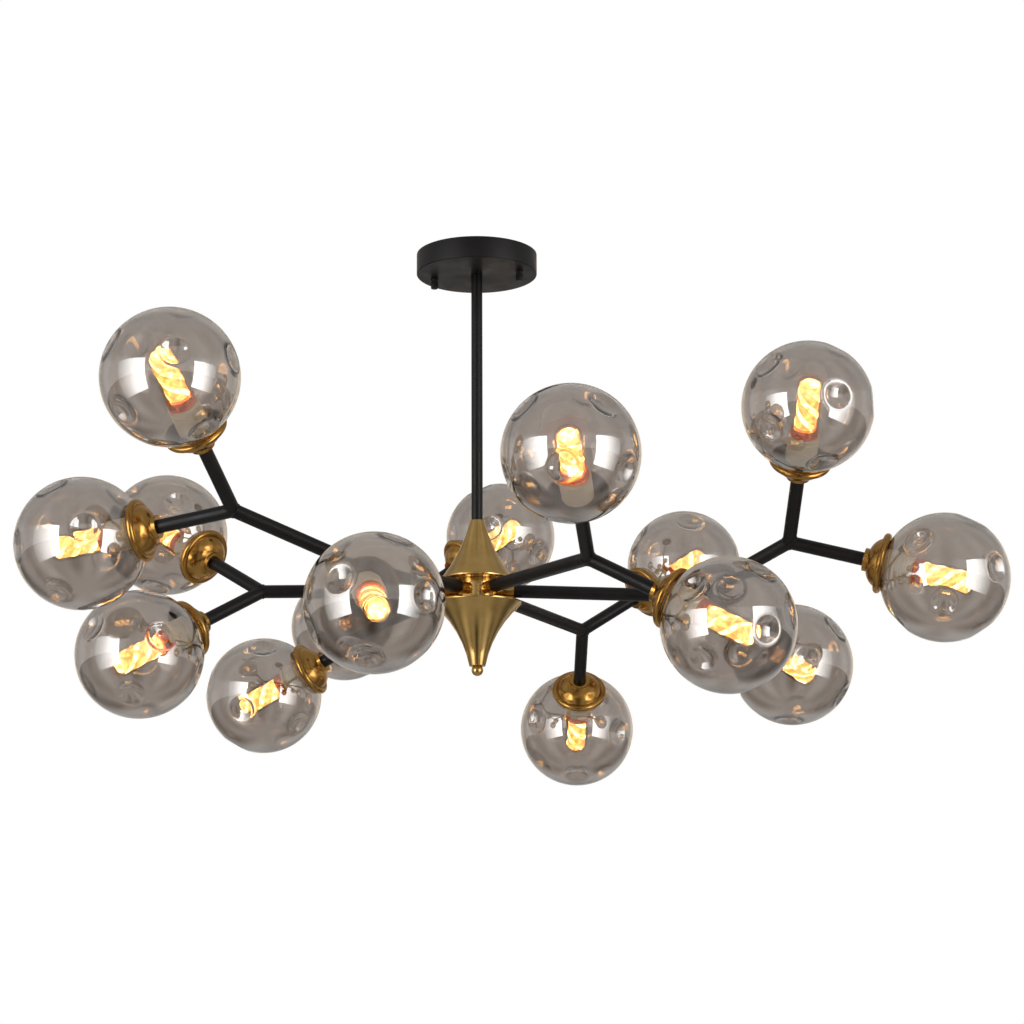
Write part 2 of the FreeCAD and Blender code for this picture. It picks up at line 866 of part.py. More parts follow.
def make_globe_pattern():
    """A blown glass globe with dents all over and a short neck that screws on to the holder."""
    radius = size("globe_diameter") / 2
    wall = size("globe_wall")
    dent = size("dent_radius")
    neck = size("globe_neck_diameter") / 2
    neck_back = (radius.squared() - neck.squared()).root() + size("globe_neck_length")
    outer_dents = []
    inner_dents = []
    for from_tip, around in DENTS:
        direction = Rotation(Vector(0, 0, 1), around) * Rotation(Vector(0, 1, 0), from_tip)
        distance = radius + dent - size("dent_depth")
        centre = Placement(direction.multVec(Vector(0, 0, distance.value)), Rotation())
        outer_dents.append(ball(dent, centre))
        inner_dents.append(ball(dent + wall, centre))
    neck_tube = cylinder(neck, size("globe_neck_length") * 2, at(z=-neck_back.value))
    blown = fuse("globe_blown", ball(radius), neck_tube)
    inside = cut("globe_inside", ball(radius - wall), *inner_dents)
    mouth = cylinder(size("globe_mouth") / 2, radius / 2, at(z=-neck_back.value))
    return cut("globe_pattern", cut("globe_outside", blown, *outer_dents), inside, mouth)


def make_harness():
    """The wires: up the rod to the terminal block, and out through every arm to its lamps."""
    rise = arms_level - strap * 2 - size("block_height") / 2
    corner = at(z=-(arms_level - rise).value)
    riser = cylinder(wire_radius, rise, at(z=-arms_level.value))
    bundles = [fuse("wires_up", riser, ball(wire_radius, corner), wire_to_block())]
    wire_end = size("lamp_reach") - size("holder_floor")
    for index in range(len(ARMS)):
        run = branch_run(wire_radius, index, wire_radius * 2, wire_end)
        bundles.append(fuse(f"wires_{index + 1}", *run))
    harness = document.addObject("Part::Compound", "wiring_harness")
    harness.Links = bundles
    return harness


# ---------------------------------------------------------------- assembly


def assemble():
    """Makes every node and returns them."""
    frames = [arm_frame(index) for index in range(len(ARMS))]
    lamps = []
    for index in range(len(ARMS)):
        for branch, fork in arm_branches(index):
            if fork is None:
                lamps.append(lamp_frame(branch))
    nodes = [
        make_ceiling_strap(),
        make_stud_strap(),
        make_strap_rivet(),
        make_studs(),
        make_earth_screw(),
        make_terminal_block(),
        make_canopy(),
        make_cap_nut("cap_nut_left", -1),
        make_cap_nut("cap_nut_right", 1),
        make_rod_nut(),
        make_rod_nipple(),
        make_downrod(),
        make_upper_cone(),
        make_hub_drum(frames),
        make_arm_sockets(frames),
        make_hub_nipple(frames),
        make_hub_nut(),
        make_lower_cone(),
        make_finial(),
        make_cups(lamps),
        make_holders(lamps),
        make_harness(),
    ]
    nodes.extend(make_arm(index) for index in range(len(ARMS)))
    bulb = make_bulb_pattern()
    globe = make_globe_pattern()
    document.recompute()
    for number, lamp in enumerate(lamps, start=1):
        turn = Placement(Vector(), Rotation(Vector(0, 0, 1), number * GLOBE_TURN))
        nodes.append(copies(f"bulb_{number}", bulb, [lamp]))
        nodes.append(copies(f"globe_{number}", globe, [lamp * turn]))
    document.recompute()
    return nodes


def check(nodes):
    """Stops if any object failed or any node has no valid shape."""
    for thing in document.Objects:
        failed = [state for state in thing.State if state in ("Invalid", "Error")]
        if failed:
            raise RuntimeError(f"{thing.Label} is {failed}")
    for node in nodes:
        if node.Shape.isNull() or not node.Shape.isValid():
            raise RuntimeError(f"{node.Label} has no valid shape")


def export(nodes):
    """Writes one STEP file for each node."""
    os.makedirs("parts", exist_ok=True)
    for node in nodes:
        node.Shape.exportStep(f"parts/{node.Label}.step")
        box = node.Shape.BoundBox
        print(f"{node.Label}: {len(node.Shape.Solids)} solids, {node.Shape.Volume:.0f} mm3, "
              f"z {box.ZMin:.1f} to {box.ZMax:.1f}")


parts = assemble()
check(parts)
export(parts)
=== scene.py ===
# %% [markdown]
# # A branch chandelier with fifteen dented smoke-glass globes
#
# The real lamp hangs from a round black canopy. A straight rod carries a turned brass hub, six black tubes
# leave the hub, and each tube forks once or twice. Every branch ends in a lamp: a spun brass cup, a
# threaded holder, a lit bulb and a mouth-blown globe with thumb dents in it. This notebook dresses the
# measured solids of that lamp.

# %% [markdown]
# ## The solids
# The solids were measured first, so they say where everything goes and how large it may be. They come in at
# real size, in metres, with the ceiling at height zero.

# %% Load the solids
import json
import math

import bmesh
import bpy
import numpy as np
from mathutils import Matrix, Vector


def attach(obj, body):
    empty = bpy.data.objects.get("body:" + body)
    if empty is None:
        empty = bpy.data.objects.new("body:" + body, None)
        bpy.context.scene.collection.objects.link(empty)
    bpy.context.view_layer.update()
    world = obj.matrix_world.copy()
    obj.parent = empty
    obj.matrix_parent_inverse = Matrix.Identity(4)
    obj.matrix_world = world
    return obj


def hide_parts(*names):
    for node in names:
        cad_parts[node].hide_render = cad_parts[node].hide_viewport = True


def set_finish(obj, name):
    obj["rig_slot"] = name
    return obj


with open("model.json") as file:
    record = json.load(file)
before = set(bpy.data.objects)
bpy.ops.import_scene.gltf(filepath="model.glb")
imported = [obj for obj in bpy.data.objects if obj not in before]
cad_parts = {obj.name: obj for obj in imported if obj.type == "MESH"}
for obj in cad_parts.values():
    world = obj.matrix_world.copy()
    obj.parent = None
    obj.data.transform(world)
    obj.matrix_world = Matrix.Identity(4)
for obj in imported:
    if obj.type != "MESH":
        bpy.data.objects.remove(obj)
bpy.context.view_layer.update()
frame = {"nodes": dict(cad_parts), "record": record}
MM = 0.001

# %% [markdown]
# ## The camera
# The photograph was taken from below the lamp, about two and a half metres away, with a long lens. Place,
# angles and focal length were found by fitting the outlines of all fifteen globes, so they are written down
# as numbers. A camera in Blender looks along its own -Z, with +Y up, and its three axes are the columns of
# its matrix.

# %% Place the camera
PICTURE_SIDE = 1024
FOCAL_LENGTH_PX = 2531.69
CAMERA_PLACE = Vector((0.0, -2400.0, -789.7)) * MM
CAMERA_PITCH = 0.21674
CAMERA_YAW = 0.0141
CAMERA_ROLL = -0.00453

camera = bpy.data.objects.new("camera", bpy.data.cameras.new("camera"))
bpy.context.scene.collection.objects.link(camera)
bpy.context.scene.camera = camera
camera.data.lens = FOCAL_LENGTH_PX / PICTURE_SIDE * camera.data.sensor_width

ahead = Vector((
    math.sin(CAMERA_YAW) * math.cos(CAMERA_PITCH),
    math.cos(CAMERA_YAW) * math.cos(CAMERA_PITCH),
    math.sin(CAMERA_PITCH),
))
level = Vector((math.cos(CAMERA_YAW), -math.sin(CAMERA_YAW), 0.0))
upright = level.cross(ahead)
right = level * math.cos(CAMERA_ROLL) + upright * math.sin(CAMERA_ROLL)
up = upright * math.cos(CAMERA_ROLL) - level * math.sin(CAMERA_ROLL)
camera.matrix_world = Matrix.Translation(CAMERA_PLACE) @ Matrix((right, up, -ahead)).transposed().to_4x4()
print("lens", round(camera.data.lens, 1), "mm")

# %% [markdown]
# ## Nodes and colours
# Every finish below is a small tree of shader nodes. One function adds a node, and takes for each input
# either a value or the output of a node before it. Colours are written as the hex values that a paint shop
# would give, and one function turns them into the linear light that Blender works in.

# %% Make a node, a colour and an empty material


def linear(hex_colour, alpha=1.0):
    """An sRGB hex colour as linear red, green, blue and alpha."""
    values = [int(hex_colour[i:i + 2], 16) / 255 for i in (1, 3, 5)]
    return (*(v / 12.92 if v <= 0.04045 else ((v + 0.055) / 1.055) ** 2.4 for v in values), alpha)


def add_node(tree, kind, inputs=None, **settings):
    """Adds a node. An input is a value, or another node's output to link."""
    made = tree.nodes.new(kind)
    for name, value in settings.items():
        setattr(made, name, value)
    for name, value in (inputs or {}).items():
        if isinstance(value, bpy.types.NodeSocket):
            tree.links.new(value, made.inputs[name])
        else:
            made.inputs[name].default_value = value
    return made


def empty_material(name):
    """A material with nothing in it but its output."""
    material = bpy.data.materials.new(name)
    material.use_nodes = True
    material.node_tree.nodes.clear()
    output = add_node(material.node_tree, "ShaderNodeOutputMaterial")
    return material, material.node_tree, output


def per_mm(spacing):
    """The texture scale whose features are this many millimetres across."""
    return 1 / (spacing * MM)


print("mid grey #808080 is", round(linear("#808080")[0], 3), "in linear light")

# %% [markdown]
# ## The room that the metal mirrors
# Turned metal shows the room round it as long stripes, so the room is hung with upright light screens and
# dark gaps. Two sine waves by compass direction stand for them: one of three broad screens, one of eight
# narrow ones. They fade out straight above and below, where they would all meet in a star.

# %% Hang the screens
# How many screens there are, how far they are turned in radians, and how strong they are.
SCREENS = ((3.0, -1.2, 0.28), (8.0, -1.0, 0.22))
SCREENS_MIDDLE = 0.5


def room_stripes(tree, spot, plain_within, full_from):
    """The screens' brightness from 0 to 1, by compass direction. It is even near the axis."""
    parts = add_node(tree, "ShaderNodeSeparateXYZ", {0: spot})
    nearer = add_node(tree, "ShaderNodeMath", {0: parts.outputs["Y"], 1: -1.0}, operation="MULTIPLY")
    compass = add_node(tree, "ShaderNodeMath", {
        0: parts.outputs["X"], 1: nearer.outputs[0],
    }, operation="ARCTAN2")
    total = 0.0
    for count, start, share in SCREENS:
        turn = add_node(tree, "ShaderNodeMath", {0: compass.outputs[0], 1: count, 2: start},
                        operation="MULTIPLY_ADD")
        wave = add_node(tree, "ShaderNodeMath", {0: turn.outputs[0]}, operation="SINE")
        total = add_node(tree, "ShaderNodeMath", {0: wave.outputs[0], 1: share, 2: total},
                         operation="MULTIPLY_ADD").outputs[0]
    flat = add_node(tree, "ShaderNodeVectorMath", {0: spot, 1: (1.0, 1.0, 0.0)}, operation="MULTIPLY")
    away = add_node(tree, "ShaderNodeVectorMath", {0: flat.outputs["Vector"]}, operation="LENGTH")
    fade = add_node(tree, "ShaderNodeMapRange", {
        "Value": away.outputs["Value"], "From Min": plain_within, "From Max": full_from,
    }, interpolation_type="SMOOTHSTEP")
    return add_node(tree, "ShaderNodeMath", {0: total, 1: fade.outputs[0], 2: SCREENS_MIDDLE},
                    operation="MULTIPLY_ADD").outputs[0]


print("screens round the room:", [int(count) for count, _, _ in SCREENS])

# %% [markdown]
# ## The light all round
# The photograph has plain white all round, so the world is white to the camera and to what is seen through
# glass. To what is mirrored it is the room of screens: pale low down, grey above, and warm behind the lamp.
# So each globe is dark on top and pale below. To every other ray it is an even, weaker light.

# %% Light the world
LOW_ROOM = (0.28, 0.92)
HIGH_ROOM = (0.24, 0.50)
HIGH_ROOM_STARTS = (0.28, 0.40)
WARM_BACK_STARTS = (0.6, 0.95)
EVEN_LIGHT = 0.55
scene = bpy.context.scene
scene.view_settings.view_transform = "Standard"
world = bpy.data.worlds.new("studio")
scene.world = world
world.use_nodes = True
air = world.node_tree
air.nodes.clear()
heading = add_node(air, "ShaderNodeTexCoord").outputs["Generated"]
way = add_node(air, "ShaderNodeSeparateXYZ", {0: heading})
screens = room_stripes(air, heading, 0.2, 0.8)
low_room = add_node(air, "ShaderNodeMapRange", {
    "Value": screens, "To Min": LOW_ROOM[0], "To Max": LOW_ROOM[1],
})
high_room = add_node(air, "ShaderNodeMapRange", {
    "Value": screens, "To Min": HIGH_ROOM[0], "To Max": HIGH_ROOM[1],
})
above = add_node(air, "ShaderNodeMapRange", {
    "Value": way.outputs["Z"], "From Min": HIGH_ROOM_STARTS[0], "From Max": HIGH_ROOM_STARTS[1],
}, interpolation_type="SMOOTHSTEP")
mirrored = add_node(air, "ShaderNodeMix", {
    "Factor": above.outputs[0], "A": low_room.outputs[0], "B": high_room.outputs[0],
}, data_type="FLOAT")
ray = add_node(air, "ShaderNodeLightPath")
seen = add_node(air, "ShaderNodeMath", {
    0: ray.outputs["Is Camera Ray"], 1: ray.outputs["Is Transmission Ray"],
}, operation="MAXIMUM")
unseen = add_node(air, "ShaderNodeMix", {
    "Factor": ray.outputs["Is Glossy Ray"], "A": EVEN_LIGHT, "B": mirrored.outputs[0],
}, data_type="FLOAT")
strength = add_node(air, "ShaderNodeMix", {
    "Factor": seen.outputs[0], "A": unseen.outputs[0], "B": 1.0,
}, data_type="FLOAT")
behind = add_node(air, "ShaderNodeMapRange", {
    "Value": way.outputs["Y"], "From Min": WARM_BACK_STARTS[0], "From Max": WARM_BACK_STARTS[1],
})
glossy_behind = add_node(air, "ShaderNodeMath", {
    0: behind.outputs[0], 1: ray.outputs["Is Glossy Ray"],
}, operation="MULTIPLY")
unseen_behind = add_node(air, "ShaderNodeMath", {
    0: glossy_behind.outputs[0], 1: seen.outputs[0],
}, operation="SUBTRACT", use_clamp=True)
light_colour = add_node(air, "ShaderNodeMix", {
    "Factor": unseen_behind.outputs[0], "A": linear("#FFFFFF"), "B": linear("#E8D2B4"),
}, data_type="RGBA")
sky = add_node(air, "ShaderNodeBackground", {
    "Color": light_colour.outputs["Result"], "Strength": strength.outputs[0],
})
add_node(air, "ShaderNodeOutputWorld", {"Surface": sky.outputs[0]})
print("world lit with", len(air.nodes), "nodes")

# %% [markdown]
# ## The softboxes
# Two square soft lamps stand one on each side of the camera, and show in every globe. The cloth of a
# softbox is brightest towards the middle of the studio and fades outward. An area lamp can have nodes of
# its own, so a ramp across its width dims it.

# %% Hang the softboxes
ROOM_MIDDLE = Vector((0.04, 0.0, -0.36))
SOFTBOX_SIDE = 1.75
SOFTBOX_DISTANCE = 2.3
SOFTBOX_ASIDE = math.radians(56)
SOFTBOX_DIP = -0.05
SOFTBOX_RADIANCE = 4.8
SOFTBOX_FADED = 0.1

for side in (-1, 1):
    panel = bpy.data.lights.new("softbox", "AREA")
    panel.shape = "RECTANGLE"
    panel.size = SOFTBOX_SIDE
    panel.size_y = SOFTBOX_SIDE
    panel.energy = SOFTBOX_RADIANCE * math.pi * SOFTBOX_SIDE**2
    lamp = bpy.data.objects.new(f"softbox_{'left' if side < 0 else 'right'}", panel)
    scene.collection.objects.link(lamp)
    aim = Vector((side * math.sin(SOFTBOX_ASIDE), -math.cos(SOFTBOX_ASIDE), SOFTBOX_DIP))
    lamp.location = ROOM_MIDDLE + aim * SOFTBOX_DISTANCE
    lamp.rotation_mode = "QUATERNION"
    lamp.rotation_quaternion = aim.to_track_quat("Z", "Y")
    lamp.visible_camera = False
    panel.use_nodes = True
    cloth = panel.node_tree
    cloth.nodes.clear()
    place = add_node(cloth, "ShaderNodeSeparateXYZ", {
        0: add_node(cloth, "ShaderNodeNewGeometry").outputs["Parametric"],
    })
    first, last = (1.0, SOFTBOX_FADED) if side > 0 else (SOFTBOX_FADED, 1.0)
    fade = add_node(cloth, "ShaderNodeMapRange", {
        "Value": place.outputs["X"], "To Min": first, "To Max": last,
    }, interpolation_type="SMOOTHSTEP")
    shine = add_node(cloth, "ShaderNodeEmission", {"Strength": fade.outputs[0]})
    add_node(cloth, "ShaderNodeOutputLight", {"Surface": shine.outputs[0]})
print("each softbox gives", round(panel.energy, 1), "W")

# %% [markdown]
# ## The floor
# The lamp hangs high over a pale painted floor. The floor mirrors the same screens as the room, and it is
# lifted to a pale tone for the camera alone, so that it throws no more light on the lamp.

# %% Lay the floor
FLOOR_LEVEL = -4.1
FLOOR_REACH = 60.0
FLOOR_LIFT = 0.42

pale_paint, tree, output = empty_material("floor_pale_paint")
screens = room_stripes(tree, add_node(tree, "ShaderNodeTexCoord").outputs["Object"], 0.8, 3.6)
mirrored_paint = add_node(tree, "ShaderNodeMix", {
    "Factor": screens, "A": linear("#4E4C4A"), "B": linear("#FFFFFF"),
}, data_type="RGBA")
ray = add_node(tree, "ShaderNodeLightPath")
seen_paint = add_node(tree, "ShaderNodeMix", {
    "Factor": ray.outputs["Is Glossy Ray"], "A": linear("#EDEBE8"), "B": mirrored_paint.outputs["Result"],
}, data_type="RGBA")
pale_to_sight = add_node(tree, "ShaderNodeMath", {
    0: ray.outputs["Is Camera Ray"], 1: FLOOR_LIFT,
}, operation="MULTIPLY")
paint = add_node(tree, "ShaderNodeBsdfPrincipled", {
    "Base Color": seen_paint.outputs["Result"], "Roughness": 0.8,
    "Emission Color": linear("#FFFFFF"), "Emission Strength": pale_to_sight.outputs[0],
})
tree.links.new(paint.outputs[0], output.inputs["Surface"])
floor_mesh = bpy.data.meshes.new("studio_floor")
floor_mesh.from_pydata([
    (x * FLOOR_REACH, y * FLOOR_REACH, FLOOR_LEVEL) for x, y in ((-1, -1), (1, -1), (1, 1), (-1, 1))
], [], [(0, 1, 2, 3)])
floor_mesh.materials.append(pale_paint)
studio_floor = bpy.data.objects.new("studio_floor", floor_mesh)
scene.collection.objects.link(studio_floor)
print("floor", -FLOOR_LEVEL, "m under the ceiling")

# %% [markdown]
# ## Satin black powder coat
# Canopy, rod and arms are steel with a baked powder coat. The powder melts into a skin that is smooth to
# the hand but has a faint orange peel, so its highlights are soft and a little uneven. The peel is under a
# millimetre across, and it is drawn at one millimetre so that it shows at all. Photographs show the coat as
# a warm black.

# %% Mix the powder coat
powder_coat, tree, output = empty_material("satin_black_powder_coat")
place = add_node(tree, "ShaderNodeTexCoord").outputs["Object"]
peel = add_node(tree, "ShaderNodeTexNoise", {"Vector": place, "Scale": per_mm(1.0), "Detail": 2.0})
handling = add_node(tree, "ShaderNodeTexNoise", {"Vector": place, "Scale": per_mm(22.0), "Detail": 4.0})
sheen = add_node(tree, "ShaderNodeMapRange", {
    "Value": handling.outputs["Fac"], "From Min": 0.35, "From Max": 0.65, "To Min": 0.34, "To Max": 0.46,
})
coat_colour = add_node(tree, "ShaderNodeMix", {
    "Factor": handling.outputs["Fac"], "A": linear("#0A0808"), "B": linear("#14100F"),
}, data_type="RGBA")
relief = add_node(tree, "ShaderNodeBump", {
    "Strength": 0.25, "Distance": 0.02 * MM, "Height": peel.outputs["Fac"],
})
paint = add_node(tree, "ShaderNodeBsdfPrincipled", {
    "Base Color": coat_colour.outputs["Result"], "Roughness": sheen.outputs[0], "Normal": relief.outputs[0],
    "Specular IOR Level": 0.3,
})
tree.links.new(paint.outputs[0], output.inputs["Surface"])
print("powder coat ready")

# %% [markdown]
# ## Two brasses
# The hub is brass that was turned, polished and lacquered, and its cones mirror the room in long stripes.
# The cups behind the globes are thinner spun brass with a darker, more orange antique lacquer. A lathe
# leaves rings round the axis about a quarter of a millimetre apart. They are drawn at 0.6 mm so that they
# show. Every turned piece below carries a map whose V runs along its outline in metres, and the rings are
# noise along that V alone.

# %% Mix the brasses


def turned_brass(name, bright, dark, roughness):
    """Lacquered brass with lathe rings and a slight cloudiness under the lacquer."""
    material, tree, output = empty_material(name)
    along = add_node(tree, "ShaderNodeSeparateXYZ", {0: add_node(tree, "ShaderNodeTexCoord").outputs["UV"]})
    ring = add_node(tree, "ShaderNodeMath", {0: along.outputs["Y"], 1: per_mm(0.6)}, operation="MULTIPLY")
    rings = add_node(tree, "ShaderNodeTexNoise", {"W": ring.outputs[0], "Scale": 1.0, "Detail": 2.0},
                     noise_dimensions="1D")
    place = add_node(tree, "ShaderNodeTexCoord").outputs["Object"]
    cloud = add_node(tree, "ShaderNodeTexNoise", {"Vector": place, "Scale": per_mm(14.0), "Detail": 5.0})
    colour = add_node(tree, "ShaderNodeMix", {
        "Factor": cloud.outputs["Fac"], "A": linear(dark), "B": linear(bright),
    }, data_type="RGBA")
    dullness = add_node(tree, "ShaderNodeMapRange", {
        "Value": cloud.outputs["Fac"], "From Min": 0.3, "From Max": 0.7,
        "To Min": roughness - 0.04, "To Max": roughness + 0.05,
    })
    relief = add_node(tree, "ShaderNodeBump", {
        "Strength": 0.3, "Distance": 0.008 * MM, "Height": rings.outputs["Fac"],
    })
    metal = add_node(tree, "ShaderNodeBsdfPrincipled", {
        "Base Color": colour.outputs["Result"], "Metallic": 1.0, "Roughness": dullness.outputs[0],
        "Normal": relief.outputs[0],
    })
    tree.links.new(metal.outputs[0], output.inputs["Surface"])
    return material


hub_brass = turned_brass("polished_lacquered_brass", "#E3BF7C", "#C0964F", 0.16)
cup_brass = turned_brass("antique_spun_brass", "#CFA055", "#966A33", 0.20)
print("brasses ready")

# %% [markdown]
# ## Smoke glass
# The globes are soda glass, blown in grey-brown smoke glass about two millimetres thick, with a thin mirror
# coat from vapour. So each wall takes about half of the light, a globe mirrors the room more than clear
# glass does, and its edge is darker, because there the eye looks along the wall: the tint deepens where the
# glass turns away. A coat layer stands for the mirror. Lamps pass a real globe, but a path tracer finds
# them slowly through bent glass, so shadow rays meet a plain tint instead.

# %% Mix the smoke glass


def lamps_pass(tree, output, glass, tint):
    """Gives a glass to every ray but shadow rays, which meet a plain tint."""
    plain = add_node(tree, "ShaderNodeBsdfTransparent", {"Color": linear(tint)})
    surface = add_node(tree, "ShaderNodeMixShader", {
        0: add_node(tree, "ShaderNodeLightPath").outputs["Is Shadow Ray"],
        1: glass.outputs[0], 2: plain.outputs[0],
    })
    tree.links.new(surface.outputs[0], output.inputs["Surface"])


smoke_glass, tree, output = empty_material("smoke_soda_glass")
edge = add_node(tree, "ShaderNodeLayerWeight", {"Blend": 0.5})
depth = add_node(tree, "ShaderNodeMapRange", {
    "Value": edge.outputs["Facing"], "From Min": 0.72, "From Max": 1.0,
}, interpolation_type="SMOOTHSTEP")
smoke = add_node(tree, "ShaderNodeMix", {
    "Factor": depth.outputs[0], "A": linear("#BFB6AE"), "B": linear("#827A73"),
}, data_type="RGBA")
glass = add_node(tree, "ShaderNodeBsdfPrincipled", {
    "Base Color": smoke.outputs["Result"], "Roughness": 0.0, "IOR": 1.5, "Transmission Weight": 1.0,
    "Coat Weight": 0.9, "Coat Roughness": 0.0, "Coat IOR": 2.2,
})
lamps_pass(tree, output, glass, "#DAD2CB")
print("smoke glass ready")

# %% [markdown]
# ## The bulb's tube
# The bulbs are warm white and lit. Each has a clear tube, blown of thin glass with a faint amber tone. With
# glass's own index of 1.5 the bright edges of the tube would cover the core in so small a picture, so the
# index is set lower.

# %% Mix the clear glass
clear_tube, tree, output = empty_material("clear_bulb_glass")
glass = add_node(tree, "ShaderNodeBsdfPrincipled", {
    "Base Color": linear("#FFF3DC"), "Roughness": 0.02, "IOR": 1.15, "Transmission Weight": 1.0,
})
lamps_pass(tree, output, glass, "#FFF3DC")
print("clear glass ready")

# %% [markdown]
# ## What glows in the bulb
# In the tube stands an amber core, moulded with phosphor in it, and strips of light-emitting diodes are
# wound round the core. The strips are far brighter than anything a picture can hold, so they only need to
# be bright enough to burn out to pale yellow behind the smoke glass. Patches of noise make some stretches
# brighter, as single diodes do.

# %% Mix the core and the strips
amber_core, tree, output = empty_material("amber_phosphor_core")
place = add_node(tree, "ShaderNodeTexCoord").outputs["Object"]
patches = add_node(tree, "ShaderNodeTexNoise", {"Vector": place, "Scale": per_mm(5.0), "Detail": 3.0})
glow = add_node(tree, "ShaderNodeMapRange", {
    "Value": patches.outputs["Fac"], "From Min": 0.35, "From Max": 0.65, "To Min": 2.4, "To Max": 6.0,
})
edge = add_node(tree, "ShaderNodeLayerWeight", {"Blend": 0.35})
warmth = add_node(tree, "ShaderNodeMix", {
    "Factor": edge.outputs["Facing"], "A": linear("#FFCB80"), "B": linear("#F59A42"),
}, data_type="RGBA")
phosphor = add_node(tree, "ShaderNodeBsdfPrincipled", {
    "Base Color": linear("#E8B46A"), "Roughness": 0.5,
    "Emission Color": warmth.outputs["Result"], "Emission Strength": glow.outputs[0],
})
tree.links.new(phosphor.outputs[0], output.inputs["Surface"])

lit_strip, tree, output = empty_material("lit_diode_strip")
place = add_node(tree, "ShaderNodeTexCoord").outputs["Object"]
patches = add_node(tree, "ShaderNodeTexNoise", {"Vector": place, "Scale": per_mm(6.0), "Detail": 2.0})
spread = add_node(tree, "ShaderNodeMapRange", {
    "Value": patches.outputs["Fac"], "From Min": 0.38, "From Max": 0.62,
}, interpolation_type="SMOOTHSTEP")
glow = add_node(tree, "ShaderNodeMapRange", {"Value": spread.outputs[0], "To Min": 4.0, "To Max": 13.0})
warmth = add_node(tree, "ShaderNodeMix", {
    "Factor": spread.outputs[0], "A": linear("#FFD084"), "B": linear("#FFDF9C"),
}, data_type="RGBA")
diode = add_node(tree, "ShaderNodeBsdfPrincipled", {
    "Base Color": linear("#FFF0C8"), "Roughness": 0.4,
    "Emission Color": warmth.outputs["Result"], "Emission Strength": glow.outputs[0],
})
tree.links.new(diode.outputs[0], output.inputs["Surface"])
print("core and strips ready")

# %% [markdown]
# ## The bulb's collar
# Under the tube sits a heat collar of pressed copper with a clear lacquer, cloudy by a few millimetres. It
# stands in the bulb's own light, so it is given a little light of its own.

# %% Mix the copper
copper, tree, output = empty_material("lacquered_copper")
place = add_node(tree, "ShaderNodeTexCoord").outputs["Object"]
cloud = add_node(tree, "ShaderNodeTexNoise", {"Vector": place, "Scale": per_mm(6.0), "Detail": 3.0})
colour = add_node(tree, "ShaderNodeMix", {
    "Factor": cloud.outputs["Fac"], "A": linear("#D4632A"), "B": linear("#F8AE78"),
}, data_type="RGBA")
metal = add_node(tree, "ShaderNodeBsdfPrincipled", {
    "Base Color": colour.outputs["Result"], "Metallic": 1.0, "Roughness": 0.2,
    "Emission Color": linear("#E8702C"), "Emission Strength": 0.16,
})
tree.links.new(metal.outputs[0], output.inputs["Surface"])
print("copper ready")

# %% [markdown]
# ## Ivory plastic, zinc and the small parts
# The holders are heat-proof ivory plastic, which lets a little light into itself and stands in the light of
# its bulb, so it too has a little light of its own. What the canopy hides is plain workshop metal:
# zinc-plated steel, with the mottled crystal pattern that plating leaves, about four millimetres across.
# The supply wires have a matt grey skin.

# %% Mix the plastics and the zinc
ivory, tree, output = empty_material("ivory_moulded_plastic")
place = add_node(tree, "ShaderNodeTexCoord").outputs["Object"]
flow = add_node(tree, "ShaderNodeTexNoise", {"Vector": place, "Scale": per_mm(9.0), "Detail": 3.0})
colour = add_node(tree, "ShaderNodeMix", {
    "Factor": flow.outputs["Fac"], "A": linear("#D6D2C0"), "B": linear("#F0ECDC"),
}, data_type="RGBA")
plastic = add_node(tree, "ShaderNodeBsdfPrincipled", {
    "Base Color": colour.outputs["Result"], "Roughness": 0.33, "IOR": 1.5,
    "Subsurface Weight": 0.25, "Subsurface Scale": 2.0 * MM,
    "Emission Color": linear("#F0EBD4"), "Emission Strength": 0.16,
})
tree.links.new(plastic.outputs[0], output.inputs["Surface"])

zinc, tree, output = empty_material("zinc_plated_steel")
place = add_node(tree, "ShaderNodeTexCoord").outputs["Object"]
crystals = add_node(tree, "ShaderNodeTexVoronoi", {"Vector": place, "Scale": per_mm(4.0)})
dullness = add_node(tree, "ShaderNodeMapRange", {
    "Value": crystals.outputs["Distance"], "From Min": 0.0, "From Max": 0.8, "To Min": 0.28, "To Max": 0.46,
})
metal = add_node(tree, "ShaderNodeBsdfPrincipled", {
    "Base Color": linear("#B9BBBC"), "Metallic": 1.0, "Roughness": dullness.outputs[0],
})
tree.links.new(metal.outputs[0], output.inputs["Surface"])

wire_skin, tree, output = empty_material("grey_wire_insulation")
place = add_node(tree, "ShaderNodeTexCoord").outputs["Object"]
scuffs = add_node(tree, "ShaderNodeTexNoise", {"Vector": place, "Scale": per_mm(3.0), "Detail": 3.0})
dullness = add_node(tree, "ShaderNodeMapRange", {
    "Value": scuffs.outputs["Fac"], "To Min": 0.4, "To Max": 0.65,
})
skin = add_node(tree, "ShaderNodeBsdfPrincipled", {
    "Base Color": linear("#A9A49B"), "Roughness": dullness.outputs[0],
})
tree.links.new(skin.outputs[0], output.inputs["Surface"])
print("plastic, zinc and insulation ready")

# %% [markdown]
# ## Outlines
# Most of this lamp was made on a lathe, so most of it starts as an outline of radius and height that is
# turned round its axis. A corner of an outline may carry the radius of the arc that leads to the next
# corner. Real edges are never sharp: each corner is broken by a few tenths of a millimetre, and that small
# round catches the light.

# %% Draw an outline
NOT_A_CORNER = math.radians(155)


